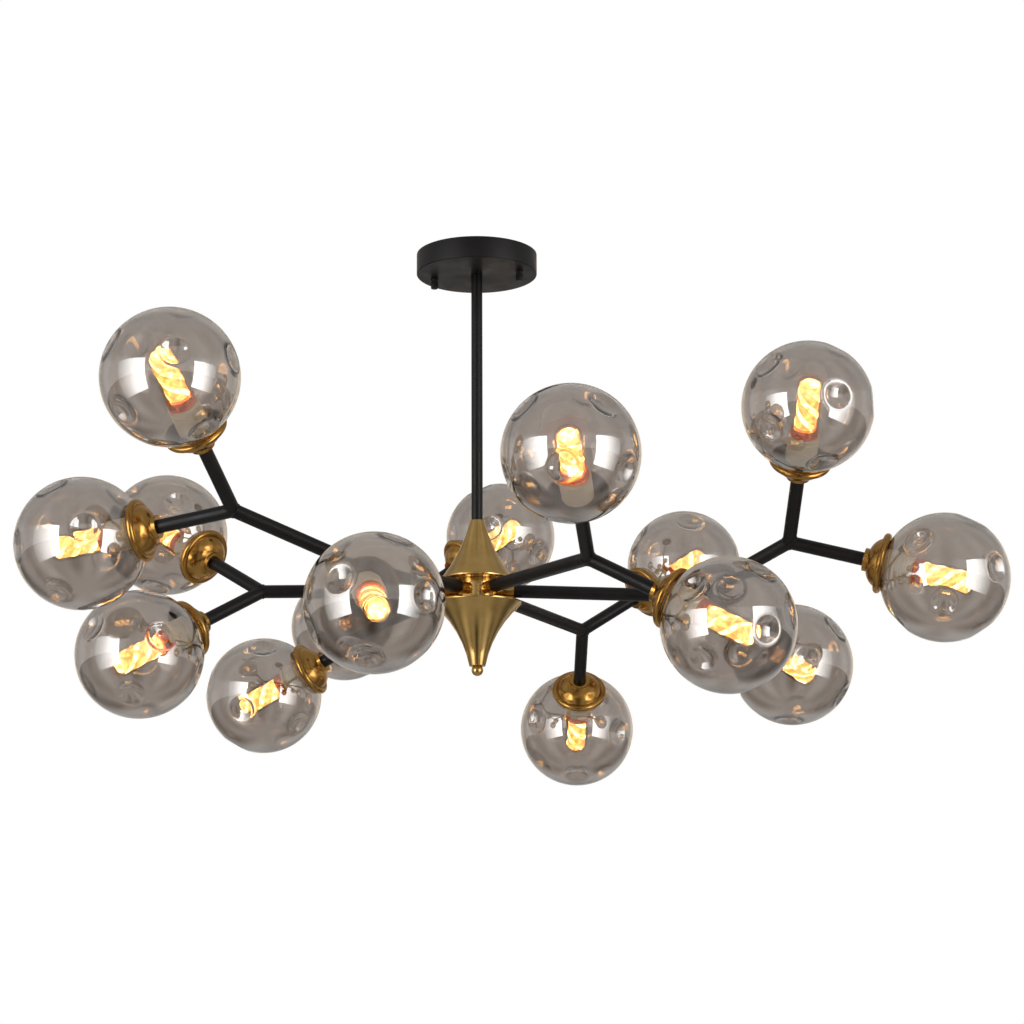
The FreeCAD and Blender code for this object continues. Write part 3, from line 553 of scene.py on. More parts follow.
def arc_points(start, end, radius, step=7.0):
    """Points of the arc from start to just before end. A positive radius bulges to the right of the way."""
    start, end = Vector(start), Vector(end)
    chord = end - start
    half = chord.length / 2
    inward = Vector((-chord.y, chord.x)).normalized() * math.copysign(1, radius)
    centre = (start + end) / 2 + inward * math.sqrt(max(radius**2 - half**2, 0))
    first = math.atan2(start.y - centre.y, start.x - centre.x)
    last = math.atan2(end.y - centre.y, end.x - centre.x)
    sweep = (last - first) % (2 * math.pi) if radius > 0 else -((first - last) % (2 * math.pi))
    count = max(2, math.ceil(abs(math.degrees(sweep)) / step))
    turns = [first + sweep * i / count for i in range(count)]
    return [centre + abs(radius) * Vector((math.cos(turn), math.sin(turn))) for turn in turns]


def break_corners(points, amount, closed):
    """Replaces each sharp corner by a small round."""
    rounded = []
    count = len(points)
    for i, corner in enumerate(points):
        if not closed and i in (0, count - 1):
            rounded.append(corner)
            continue
        before, after = points[i - 1] - corner, points[(i + 1) % count] - corner
        if before.length < 1e-6 or after.length < 1e-6 or before.angle(after) > NOT_A_CORNER:
            rounded.append(corner)
            continue
        back = corner + before * min(amount / before.length, 0.4)
        on = corner + after * min(amount / after.length, 0.4)
        for t in (0, 0.25, 0.5, 0.75, 1):
            rounded.append(back * (1 - t) ** 2 + corner * 2 * t * (1 - t) + on * t**2)
    return rounded


def outline(corners, broken=0.3, closed=True):
    """An outline in millimetres from corners (radius, height) or (radius, height, arc radius to the next)."""
    points = []
    for i, corner in enumerate(corners):
        following = corners[(i + 1) % len(corners)]
        if len(corner) == 3:
            points.extend(arc_points(corner[:2], following[:2], corner[2]))
        else:
            points.append(Vector(corner))
    return break_corners(points, broken, closed)


trial = outline([(0, 0), (10, 0), (10, 5), (0, 5)], closed=False)
print("a plain disc has", len(trial), "outline points once its corners are broken")

# %% [markdown]
# ## Turning
# Blender has a Screw modifier that turns an outline, but a thread or a knurl needs a radius that changes
# with the angle. So each outline becomes a grid of rings in code, and a function may reshape the grid
# before it is placed. The same grids serve for tubes, weld beads and ribbons.

# %% Turn an outline


def shift(x=0.0, y=0.0, z=0.0):
    """A move in millimetres."""
    return Matrix.Translation((x, y, z))


def spin(axis, degrees):
    """A turn about an axis."""
    return Matrix.Rotation(math.radians(degrees), 4, axis)


def put(points, place):
    """Points in millimetres, moved to their place and turned to metres."""
    matrix = np.array(place)
    return (points @ matrix[:3, :3].T + matrix[:3, 3]) * MM


def ring_faces(rows, sides, closed=False):
    """The faces between rings of points. Closed, the last ring joins the first."""
    return [
        (i * sides + k, i * sides + (k + 1) % sides,
         (i + 1) % rows * sides + (k + 1) % sides, (i + 1) % rows * sides + k)
        for i in range(rows if closed else rows - 1) for k in range(sides)
    ]


def ring_maps(run, sides):
    """The maps of those faces: U goes round a ring, V is the run of each ring."""
    return [
        ((k / sides, low), ((k + 1) / sides, low), ((k + 1) / sides, high), (k / sides, high))
        for low, high in zip(run[:-1], run[1:]) for k in range(sides)
    ]


def end_caps(rows, sides):
    """The two faces that close the ends of a row of rings."""
    return tuple(range(sides))[::-1], tuple(range((rows - 1) * sides, rows * sides))


def no_maps(faces):
    """Empty maps, for faces whose finish doesn't follow an outline."""
    return [((0.0, 0.0),) * len(face) for face in faces]


def turned(points, place, closed=True, sides=96, reshape=None, finish=0):
    """Turns an outline about Z and puts it in place. Gives points, faces, maps and finishes."""
    rows = np.array([tuple(p) for p in points], float)
    angles = np.linspace(0, 2 * math.pi, sides, endpoint=False)
    radius = np.repeat(rows[:, :1], sides, axis=1)
    height = np.repeat(rows[:, 1:2], sides, axis=1)
    if reshape:
        radius, height = reshape(radius, height, angles[None, :])
    grid = np.stack((radius * np.cos(angles), radius * np.sin(angles), height), axis=-1)
    way_round = np.vstack((rows, rows[:1])) if closed else rows
    steps = np.linalg.norm(np.diff(way_round, axis=0), axis=1)
    run = np.concatenate(([0], np.cumsum(steps))) * MM
    faces = ring_faces(len(rows), sides, closed)
    return put(grid.reshape(-1, 3), place), faces, ring_maps(run, sides), [finish] * len(faces)


spots, faces, _, _ = turned(trial, shift(), closed=False)
print("turned, the disc has", len(spots), "points and", len(faces), "faces")

# %% [markdown]
# ## From shapes to a piece
# A piece is one Blender object that may hold several shapes, such as the fifteen cups. Each piece rides on
# the body that the solids give it, and stands for one of their nodes. Rows of an outline that lie on its
# axis fall together in one point, so doubles are joined, and every face is turned outward.

# %% Build a piece
DOUBLES_WITHIN = 0.002 * MM
FLAT_WITHIN = 0.0005 * MM


def join_doubles(mesh):
    """Joins points in the same place and turns faces out."""
    shape = bmesh.new()
    shape.from_mesh(mesh)
    bmesh.ops.remove_doubles(shape, verts=shape.verts, dist=DOUBLES_WITHIN)
    bmesh.ops.dissolve_degenerate(shape, edges=shape.edges, dist=FLAT_WITHIN)
    bmesh.ops.recalc_face_normals(shape, faces=shape.faces)
    shape.to_mesh(mesh)
    shape.free()


def make_piece(name, shapes, finishes, body, slot, replaced, sharp=40.0):
    """One Blender object out of several shapes, on its body, in place of its solids."""
    spots, faces, maps, finish = [], [], [], []
    for shape_spots, shape_faces, shape_maps, shape_finish in shapes:
        first = len(spots)
        spots.extend(map(tuple, shape_spots))
        faces.extend(tuple(first + i for i in face) for face in shape_faces)
        maps.extend(shape_maps)
        finish.extend(shape_finish)
    mesh = bpy.data.meshes.new(name)
    mesh.from_pydata(spots, [], faces)
    layer = mesh.uv_layers.new(name="outline")
    layer.data.foreach_set("uv", [c for face in maps for corner in face for c in corner])
    for material in finishes:
        mesh.materials.append(material)
    mesh.polygons.foreach_set("material_index", finish)
    join_doubles(mesh)
    mesh.shade_smooth()
    mesh.set_sharp_from_angle(angle=math.radians(sharp))
    piece = bpy.data.objects.new(name, mesh)
    scene.collection.objects.link(piece)
    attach(piece, body)
    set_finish(piece, slot)
    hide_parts(*replaced)
    return piece


print("ready to build pieces")

# %% [markdown]
# ## The canopy and its knobs
# The canopy is a shallow pressed cup. Two small knobs screw on to studs under it and hold the whole lamp
# up. Their sides are cut with straight knurls, about eight tenths of a millimetre apart, for the fingers.

# %% Press the canopy and cut the knobs
CANOPY_RADIUS = 59.5
CANOPY_HEIGHT = 21.0
CANOPY_WALL = 1.0
CANOPY_ROUND = 1.2
ROD_RADIUS = 5.5
NIPPLE_RADIUS = 4.2
KNOB_RADIUS = 3.7
KNOB_HEIGHT = 10.0
STUD_SPACING = 88.0
STUD_STRAP_TURN = -17.0

canopy_outline = outline([
    (NIPPLE_RADIUS, 0),
    (CANOPY_RADIUS - CANOPY_ROUND, 0, CANOPY_ROUND),
    (CANOPY_RADIUS, CANOPY_ROUND),
    (CANOPY_RADIUS, CANOPY_HEIGHT),
    (CANOPY_RADIUS - CANOPY_WALL, CANOPY_HEIGHT),
    (CANOPY_RADIUS - CANOPY_WALL, CANOPY_WALL),
    (NIPPLE_RADIUS, CANOPY_WALL),
], broken=0.35)
make_piece("canopy_cover", [turned(canopy_outline, shift(z=-CANOPY_HEIGHT), sides=144)],
           [powder_coat], "root", "black_metal", ["canopy"])

KNURLS = 28
KNURL_DEPTH = 0.32
GRIP_RADIUS = KNOB_RADIUS - 0.1
GRIP_LOW = 1.2
GRIP_HIGH = 6.6
knob_outline = outline([
    (0, 0),
    (KNOB_RADIUS - GRIP_LOW, 0, GRIP_LOW),
    (GRIP_RADIUS, GRIP_LOW),
    (GRIP_RADIUS, GRIP_HIGH),
    (KNOB_RADIUS - 0.7, 6.9),
    (KNOB_RADIUS - 0.7, 8.1),
    (KNOB_RADIUS, 8.4),
    (KNOB_RADIUS, KNOB_HEIGHT),
    (2.1, KNOB_HEIGHT),
    (2.1, 2.0),
    (0, 2.0),
], broken=0.2, closed=False)


def knurl(radius, height, angle):
    """Presses straight grooves into the grip of a knob."""
    grip = (radius > GRIP_RADIUS - 0.1) & (height > GRIP_LOW + 0.1) & (height < GRIP_HIGH - 0.1)
    return radius - grip * KNURL_DEPTH / 2 * (1 - np.cos(angle * KNURLS)), height


for side, name in ((-1, "cap_nut_left"), (1, "cap_nut_right")):
    place = spin("Z", STUD_STRAP_TURN) @ shift(side * STUD_SPACING / 2, 0, -CANOPY_HEIGHT - KNOB_HEIGHT)
    knob = turned(knob_outline, place, closed=False, sides=KNURLS * 6, reshape=knurl)
    make_piece(f"{name}_knob", [knob], [powder_coat], name, "black_metal", [name])
print("canopy and knobs made")

# %% [markdown]
# ## The rod and the brass hub
# The rod is a plain tube. The hub is a drum between two trumpet-shaped cones, all turned from brass. The
# upper cone stands on the drum with its flat foot overhanging, the lower one hangs under it, and a ball nut
# holds it up. The cones' flares are arcs, found by fitting their outlines.

# %% Turn the rod and the hub
ARMS_LEVEL = 338.4
HUB_ABOVE = 10.0
HUB_BELOW = 12.0
HUB_RADIUS = 19.0
ROD_BOTTOM = ARMS_LEVEL - HUB_ABOVE
HUB_BOTTOM = ARMS_LEVEL + HUB_BELOW
ROD_LENGTH = ROD_BOTTOM - CANOPY_HEIGHT
DRUM_BORE = 12.5
DRUM_PLATE = 3.0
CONE_LIP = 1.6
UPPER_FLARE = 157.0
UPPER_RIM = 34.5
UPPER_CONE_HEIGHT = 58.8
LOWER_FLARE = 106.0
LOWER_RIM = 42.5
LOWER_CONE_HEIGHT = 62.0

rod_outline = outline([
    (NIPPLE_RADIUS, 0), (ROD_RADIUS, 0), (ROD_RADIUS, ROD_LENGTH), (NIPPLE_RADIUS, ROD_LENGTH),
], broken=0.25)
make_piece("rod_tube", [turned(rod_outline, shift(z=-ROD_BOTTOM), sides=72)],
           [powder_coat], "root", "black_metal", ["downrod"])

upper_outline = outline([
    (ROD_RADIUS, 0),
    (UPPER_RIM, 0),
    (UPPER_RIM, CONE_LIP, -UPPER_FLARE),
    (6.7, UPPER_CONE_HEIGHT),
    (ROD_RADIUS, UPPER_CONE_HEIGHT),
    (ROD_RADIUS, 47.04, UPPER_FLARE),
    (30.3, CONE_LIP),
    (ROD_RADIUS, CONE_LIP),
], broken=0.4)
make_piece("upper_cone_turned", [turned(upper_outline, shift(z=-ROD_BOTTOM), sides=144)],
           [hub_brass], "root", "polished_brass", ["upper_cone"])

drum_outline = outline([
    (NIPPLE_RADIUS, 0),
    (HUB_RADIUS, 0),
    (HUB_RADIUS, HUB_ABOVE + HUB_BELOW),
    (NIPPLE_RADIUS, HUB_ABOVE + HUB_BELOW),
    (NIPPLE_RADIUS, HUB_ABOVE + HUB_BELOW - DRUM_PLATE),
    (DRUM_BORE, HUB_ABOVE + HUB_BELOW - DRUM_PLATE),
    (DRUM_BORE, DRUM_PLATE),
    (NIPPLE_RADIUS, DRUM_PLATE),
], broken=0.6)
make_piece("hub_drum_turned", [turned(drum_outline, shift(z=-HUB_BOTTOM), sides=144)],
           [hub_brass], "root", "polished_brass", ["hub_drum"])

lower_outline = outline([
    (2.8, 0),
    (7.7, 0, -LOWER_FLARE),
    (LOWER_RIM, LOWER_CONE_HEIGHT - CONE_LIP),
    (LOWER_RIM, LOWER_CONE_HEIGHT),
    (9.6, LOWER_CONE_HEIGHT),
    (9.6, LOWER_CONE_HEIGHT - CONE_LIP),
    (36.9, LOWER_CONE_HEIGHT - CONE_LIP, LOWER_FLARE),
    (6.3, 12.4),
    (2.8, 12.4),
], broken=0.4)
make_piece("lower_cone_turned", [turned(lower_outline, shift(z=-HUB_BOTTOM - LOWER_CONE_HEIGHT), sides=144)],
           [hub_brass], "lower_cone", "polished_brass", ["lower_cone"])

FINIAL_RADIUS = 5.6
FINIAL_HEIGHT = 9.5
finial_flat = math.sqrt(FINIAL_RADIUS**2 - (FINIAL_HEIGHT - FINIAL_RADIUS) ** 2)
finial_outline = outline([
    (0, 0, FINIAL_RADIUS),
    (finial_flat, FINIAL_HEIGHT),
    (2.6, FINIAL_HEIGHT),
    (2.6, 1.8),
    (0, 1.8),
], broken=0.2, closed=False)
finial_place = shift(z=-HUB_BOTTOM - LOWER_CONE_HEIGHT - FINIAL_HEIGHT)
make_piece("finial_ball", [turned(finial_outline, finial_place, closed=False, sides=64)],
           [hub_brass], "finial", "polished_brass", ["finial"])
print("rod and hub made, hub centre at", -ARMS_LEVEL, "mm")

# %% [markdown]
# ## Where the arms go
# Six arms leave the hub every 60 degrees. Each droops a little and is rolled about itself, so its fork,
# which spreads 45 degrees to each side, lies in a tilted plane. On every second arm one branch forks again.
# Chains of moves and turns give the frame of each arm, branch and lamp, as they would be set up on a
# welding bench.

# %% Work out the frames
FIRST_ARM_AZIMUTH = -1.5
ARM_REACH = 208.0
OUTER_FORK_REACH = 120.0
LAMP_REACH = 147.5
FORK_ANGLE = 45.0
ARM_START = 35.5
TUBE_RADIUS = 6.35
CUP_BACK = 76.0
TUBE_IN_CUP = 2.0
# Droop, roll and twist of the outer fork of each arm in degrees, with None where there is no outer fork.
ARMS = (
    (2.0, -28.0, -24.0),
    (2.5, -52.0, None),
    (1.5, -35.0, 0.0),
    (0.0, -44.0, None),
    (2.5, -32.0, -119.0),
    (1.5, -40.0, None),
)


def arm_frame(index):
    """The frame of an arm: X runs out from the hub, and the fork lies in its XY plane."""
    droop, roll, _ = ARMS[index]
    heading = shift(z=-ARMS_LEVEL) @ spin("Z", FIRST_ARM_AZIMUTH + 360 / len(ARMS) * index)
    return heading @ spin("Y", droop) @ spin("X", roll)


def branch_frame(parent, distance, side):
    """The frame of a branch before it is rolled: its XY plane is still the plane of the fork."""
    return parent @ shift(distance) @ spin("Z", side * FORK_ANGLE)


def arm_runs(index):
    """Every tube of an arm: frame, start, end, side of the fork it leaves, twist of the fork it ends in."""
    outer_twist = ARMS[index][2]
    arm = arm_frame(index)
    lamp_end = LAMP_REACH - CUP_BACK + TUBE_IN_CUP
    runs = [(arm, ARM_START, ARM_REACH, None, 0.0)]
    if outer_twist is None:
        runs.append((branch_frame(arm, ARM_REACH, -1), 0.0, lamp_end, -1, None))
    else:
        outer = branch_frame(arm, ARM_REACH, -1)
        rolled = outer @ spin("X", outer_twist)
        runs.append((outer, 0.0, OUTER_FORK_REACH, -1, outer_twist))
        runs.append((branch_frame(rolled, OUTER_FORK_REACH, -1), 0.0, lamp_end, -1, None))
        runs.append((branch_frame(rolled, OUTER_FORK_REACH, 1), 0.0, lamp_end, 1, None))
    runs.append((branch_frame(arm, ARM_REACH, 1), 0.0, lamp_end, 1, None))
    return runs


lamp_frames = []
for index in range(len(ARMS)):
    for run_frame, _, _, side, fork_twist in arm_runs(index):
        if side is not None and fork_twist is None:
            lamp_frames.append(run_frame @ shift(LAMP_REACH) @ spin("Y", 90))
print("lamps:", len(lamp_frames))

# %% [markdown]
# ## The arms
# The tubes are cut to a mitre at each fork and welded. Where two tubes meet, both end on the plane that
# halves the angle between them, so each point of a tube's rim stops a different way short of the middle: by
# its offset times the cotangent of half that angle. The weld is a thin bead along each half ellipse where
# two tubes meet, with the slight ripple that a welder's hand leaves, and the powder coat covers it all.

# %% Mitre and weld the tubes
TUBE_SIDES = 48
TUBE_ROWS = 9
BEAD_RADIUS = 0.8
BEAD_RIPPLE = 0.12
BEAD_STEPS = 32
half_stem = math.radians((180 - FORK_ANGLE) / 2)
half_fork = math.radians(FORK_ANGLE)


def mitred_tube(run_frame, start, end, side, fork_twist):
    """One tube of an arm, cut to its mitres, with its free ends closed."""
    angles = np.linspace(0, 2 * math.pi, TUBE_SIDES, endpoint=False)
    offset = TUBE_RADIUS * np.cos(angles)
    starts = np.full(TUBE_SIDES, start)
    if side is not None:
        facing_fork = offset * side < 0
        starts = np.abs(offset) * np.where(facing_fork, 1 / math.tan(half_fork), 1 / math.tan(half_stem))
    ends = np.full(TUBE_SIDES, end)
    if fork_twist is not None:
        turned_offset = TUBE_RADIUS * np.cos(angles - math.radians(fork_twist))
        ends = end - np.abs(turned_offset) / math.tan(half_stem)
    ring = np.stack((np.zeros(TUBE_SIDES), offset, TUBE_RADIUS * np.sin(angles)), axis=-1)
    along = np.linspace(0, 1, TUBE_ROWS)
    rows = [ring + np.array((1, 0, 0)) * (starts + (ends - starts) * t)[:, None] for t in along]
    faces, maps = ring_faces(TUBE_ROWS, TUBE_SIDES), ring_maps(along, TUBE_SIDES)
    for free, cap in zip((side is None, fork_twist is None), end_caps(TUBE_ROWS, TUBE_SIDES)):
        if free:
            faces.append(cap)
            maps += no_maps([cap])
    return put(np.concatenate(rows), run_frame), faces, maps, [0] * len(faces)


def bead_along(line, place, sides=8):
    """A rippled bead along a line of points, with its ends closed."""
    spots = []
    for i, point in enumerate(line):
        forward = (line[min(i + 1, len(line) - 1)] - line[max(i - 1, 0)]).normalized()
        out = forward.orthogonal().normalized()
        aside = forward.cross(out)
        thick = BEAD_RADIUS * (1 + BEAD_RIPPLE * (i % 2)) * (0.4 if i in (0, len(line) - 1) else 1)
        for k in range(sides):
            a = 2 * math.pi * k / sides
            spots.append(tuple((place @ (point + (out * math.cos(a) + aside * math.sin(a)) * thick)) * MM))
    faces = ring_faces(len(line), sides) + list(end_caps(len(line), sides))
    return spots, faces, no_maps(faces), [0] * len(faces)


def weld_beads(fork_frame, distance):
    """The three weld beads of a fork, each along half an ellipse."""
    shapes = []
    middle = Vector((distance, 0, 0))
    for direction, half_angle in ((0.0, half_fork), (112.5, half_stem), (-112.5, half_stem)):
        across = TUBE_RADIUS / math.sin(half_angle)
        u = Vector((math.cos(math.radians(direction)), math.sin(math.radians(direction)), 0))
        turns = [math.radians(-90 + 180 * i / BEAD_STEPS) for i in range(BEAD_STEPS + 1)]
        line = [middle + u * across * math.cos(t) + Vector((0, 0, TUBE_RADIUS * math.sin(t))) for t in turns]
        shapes.append(bead_along(line, fork_frame))
    return shapes


for index in range(len(ARMS)):
    shapes = []
    for run_frame, start, end, side, fork_twist in arm_runs(index):
        shapes.append(mitred_tube(run_frame, start, end, side, fork_twist))
        if fork_twist is not None:
            shapes.extend(weld_beads(run_frame @ spin("X", fork_twist), end))
    make_piece(f"arm_{index + 1}_tube", shapes, [powder_coat], "root", "black_metal", [f"arm_{index + 1}"])
print("six arms mitred and welded")

# %% [markdown]
# ## The arm sockets
# Each tube slips over a brass sleeve that is screwed into the drum. Only the thick middle of the sleeve
# shows, with one fine groove turned near the drum.

# %% Turn the arm sockets
socket_outline = outline([
    (2.5, 0),
    (5.0, 0),
    (5.0, 5.4),
    (6.0, 5.4),
    (6.0, 8.4),
    (5.6, 8.8),
    (6.0, 9.2),
    (6.0, 23.0),
    (5.15, 23.0),
    (5.15, 35.0),
    (2.5, 35.0),
], broken=0.15)
sleeves = [
    turned(socket_outline, arm_frame(index) @ shift(DRUM_BORE) @ spin("Y", 90), sides=48)
    for index in range(len(ARMS))
]
make_piece("arm_socket_sleeves", sleeves, [hub_brass], "root", "polished_brass", ["arm_sockets"])
print("six sleeves turned")

# %% [markdown]
# ## The cups
# Behind each globe is a spun brass cup: a small collar on the tube, a dome, a deep groove and a fat rolled
# bead that the glass stands in. Spinning leaves a thin wall, so the inside follows the outside. All heights
# are measured along the lamp, from the back of the cup.

# %% Spin the cups
CUP_RADIUS = 28.5
CUP_COLLAR = 10.8
CUP_GROOVE = 23.3
CUP_DOME = 18.0
CUP_WALL = 1.2
BEAD = 3.25
BEAD_CENTRE = CUP_RADIUS - BEAD
BEAD_HEIGHT = 17.5
DOME_END = BEAD_HEIGHT - math.sqrt(BEAD**2 - (BEAD_CENTRE - CUP_GROOVE) ** 2)
CUP_WEB = 3.2
WIRE_HOLE = 4.0
cup_outline = outline([
    (TUBE_RADIUS, 0),
    (CUP_COLLAR, 0),
    (CUP_COLLAR, 4.0, CUP_DOME),
    (CUP_GROOVE, DOME_END, BEAD),
    (CUP_RADIUS, BEAD_HEIGHT, BEAD),
    (BEAD_CENTRE, BEAD_HEIGHT + BEAD, BEAD),
    (BEAD_CENTRE - BEAD, BEAD_HEIGHT),
    (BEAD_CENTRE - BEAD, DOME_END + 0.6, -(CUP_DOME - CUP_WALL)),
    (CUP_COLLAR - CUP_WALL, 4.0 + CUP_WALL),
    (CUP_COLLAR - CUP_WALL, CUP_WEB),
    (WIRE_HOLE, CUP_WEB),
    (WIRE_HOLE, TUBE_IN_CUP),
    (TUBE_RADIUS, TUBE_IN_CUP),
], broken=0.3)
cups = [turned(cup_outline, lamp @ shift(z=-CUP_BACK), sides=72) for lamp in lamp_frames]
make_piece("lamp_cup_shells", cups, [cup_brass], "root", "antique_brass", ["lamp_cups"])
print("cups spun:", len(cups))

# %% [markdown]
# ## The holders
# The holder is an ivory plastic sleeve with a shallow outside thread that the globe screws on to, and a
# bore for the cap of the bulb. The thread rises 2.5 mm each turn. A lathe outline becomes a thread when the
# radius also depends on the angle, so that each turn climbs by one rise.

# %% Mould the holders
HOLDER_BACK = CUP_BACK - CUP_WEB
HOLDER_RADIUS = 14.5
HOLDER_TOP = 43.3
CAP_BORE = 7.2
CAP_FLOOR = 19.0
THREAD_RISE = 2.5
THREAD_DEPTH = 0.55
THREAD_LOW = 9.5
THREAD_HIGH = 40.1
THREAD_ROWS = 86
threaded_side = [(HOLDER_RADIUS, height) for height in np.linspace(THREAD_LOW, THREAD_HIGH, THREAD_ROWS)]
holder_outline = outline([
    (WIRE_HOLE, 0),
    (9.0, 0),
    (9.0, 5.0),
    (HOLDER_RADIUS, 8.0),
    *threaded_side,
    (HOLDER_RADIUS, 41.2),
    (13.6, 41.4),
    (13.6, 42.6),
    (HOLDER_RADIUS, 42.8),
    (HOLDER_RADIUS, HOLDER_TOP),
    (CAP_BORE, HOLDER_TOP),
    (CAP_BORE, CAP_FLOOR),
    (2.5, CAP_FLOOR),
    (2.5, 7.1),
    (WIRE_HOLE, 7.1),
], broken=0.2)


def cut_thread(radius, height, angle):
    """Cuts a thread into the straight side of a holder."""
    run = (radius > HOLDER_RADIUS - 0.01) & (height > THREAD_LOW - 0.2) & (height < THREAD_HIGH + 0.4)
    wave = 0.5 - 0.5 * np.cos(2 * math.pi * height / THREAD_RISE - angle)
    return radius - run * THREAD_DEPTH * wave**1.5, height


holders = [
    turned(holder_outline, lamp @ shift(z=-HOLDER_BACK), sides=48, reshape=cut_thread) for lamp in lamp_frames
]
make_piece("lamp_holder_sleeves", holders, [ivory], "root", "white_plastic", ["lamp_holders"], sharp=60.0)
print("holders moulded:", len(holders))

# %% [markdown]
# ## The bulbs
# Each bulb is a short tube with a flat, rounded end. Inside it stands an amber core with three strips of
# diodes wound round it, which give the slanting bands of light. Under it are a copper collar with pressed
# windows and the cap. All heights are measured from the foot of the cap. The whole bulb is one object with
# five finishes, because it unscrews in one piece.

# %% Draw the bulb's outlines
BULB_BASE = 53.5
BULB_RADIUS = 12.0
BULB_WALL = 0.9
BULB_SHOULDER = 5.0
BULB_TIP = 81.0
CAP_RADIUS = 6.9
COLLAR_LOW = 24.0
COLLAR_HIGH = 33.0
CORE_RADIUS = 9.5
CORE_TIP = BULB_TIP - 3.8
LID_RADIUS = CORE_RADIUS - 1.8
LID_LOW = BULB_TIP - 4.4
LID_HIGH = BULB_TIP - 2.6

cap_outline = outline([
    (0, 0), (3, 0), (3, 2), (CAP_RADIUS, 2), (CAP_RADIUS, COLLAR_LOW), (0, COLLAR_LOW),
], broken=0.3, closed=False)
collar_outline = outline([
    (0, COLLAR_LOW),
    (12.4, COLLAR_LOW),
    (13.0, COLLAR_LOW + 0.6),
    (13.0, COLLAR_LOW + 1.8),
    (12.0, COLLAR_LOW + 2.2),
    (12.0, COLLAR_LOW + 5.6),
    (12.8, COLLAR_LOW + 6.0),
    (12.8, COLLAR_LOW + 6.9),
    (12.2, COLLAR_LOW + 7.2),
    (12.2, COLLAR_LOW + 7.7),
    (12.7, COLLAR_LOW + 8.0),
    (12.7, COLLAR_HIGH),
    (11.0, COLLAR_HIGH),
    (0, COLLAR_HIGH),
], broken=0.2, closed=False)
tube_outline = outline([
    (BULB_RADIUS - BULB_WALL, COLLAR_HIGH),
    (BULB_RADIUS, COLLAR_HIGH),
    (BULB_RADIUS, BULB_TIP - BULB_SHOULDER, BULB_SHOULDER),
    (BULB_RADIUS - BULB_SHOULDER, BULB_TIP),
    (0, BULB_TIP),
    (0, BULB_TIP - BULB_WALL),
    (BULB_RADIUS - BULB_SHOULDER, BULB_TIP - BULB_WALL, -(BULB_SHOULDER - BULB_WALL)),
    (BULB_RADIUS - BULB_WALL, BULB_TIP - BULB_SHOULDER),
], broken=0.05)
core_outline = outline([
    (0, COLLAR_HIGH), (CORE_RADIUS, COLLAR_HIGH), (CORE_RADIUS, CORE_TIP), (0, CORE_TIP),
], broken=1.6, closed=False)
lid_outline = outline([
    (0, LID_LOW), (LID_RADIUS, LID_LOW), (LID_RADIUS, LID_HIGH), (0, LID_HIGH),
], broken=0.5, closed=False)
print("points in the tube's outline:", len(tube_outline))

# %% [markdown]
# ## The collar's windows and the strips
# The windows are pressed into the collar's waist, so they are a reshape of its grid. A strip is a flat
# ribbon that climbs the core on a helix. Its section has six points: two thin edges, a crowned face and a
# back that sinks into the core.

# %% Press the windows and wind the strips
TUBE, COLLAR, CORE, STRIP, CAP = range(5)
WINDOWS = 12
WINDOW_DEPTH = 0.6
WINDOW_EDGE = 0.3
STRIP_STARTS = 3
STRIP_TURNS = 0.8
STRIP_HALF = 2.7
STRIP_STEPS = 40
STRIP_FROM = COLLAR_HIGH + 2.0
STRIP_CLIMB = BULB_TIP - 8.0 - COLLAR_HIGH
STRIP_SECTION = (
    (-STRIP_HALF, 0.0), (-STRIP_HALF * 0.7, 0.55), (0.0, 0.9), (STRIP_HALF * 0.7, 0.55), (STRIP_HALF, 0.0),
    (0.0, -0.4),
)


def press_windows(radius, height, angle):
    """Presses upright windows into the waist of the collar, where the cosine is past the window's edge."""
    waist = (radius > 11.9) & (height > COLLAR_LOW + 2.3) & (height < COLLAR_LOW + 5.5)
    return radius - waist * WINDOW_DEPTH * (np.cos(angle * WINDOWS) > WINDOW_EDGE), height


def diode_strip(place, start_angle):
    """One strip of diodes that climbs round the core."""
    spots = []
    for i in range(STRIP_STEPS + 1):
        t = i / STRIP_STEPS
        angle = start_angle - 2 * math.pi * STRIP_TURNS * t
        height = STRIP_FROM + STRIP_CLIMB * t
        out = Vector((math.cos(angle), math.sin(angle), 0))
        around = Vector((-math.sin(angle), math.cos(angle), 0))
        climb = (Vector((0, 0, STRIP_CLIMB)) - around * CORE_RADIUS * 2 * math.pi * STRIP_TURNS).normalized()
        aside = out.cross(climb)
        for wide, proud in STRIP_SECTION:
            spot = out * math.sqrt((CORE_RADIUS + proud - 0.2) ** 2 - (aside.dot(around) * wide) ** 2)
            spot += around * aside.dot(around) * wide + Vector((0, 0, height + aside.z * wide))
            spots.append(tuple((place @ spot) * MM))
    rings, sides = STRIP_STEPS + 1, len(STRIP_SECTION)
    faces = ring_faces(rings, sides) + list(end_caps(rings, sides))
    return spots, faces, no_maps(faces), [STRIP] * len(faces)


print("each strip climbs", STRIP_CLIMB, "mm")

# %% [markdown]
# ## The bulbs, put together
# The strips of each bulb start at another angle, because a bulb stops at any angle when it is screwed in.

# %% Put the bulbs together
# One finish for each of tube, collar, core, strip and cap. The cap hides in its holder, so its nickel is
# given the zinc finish.
BULB_FINISHES = [clear_tube, copper, amber_core, lit_strip, zinc]

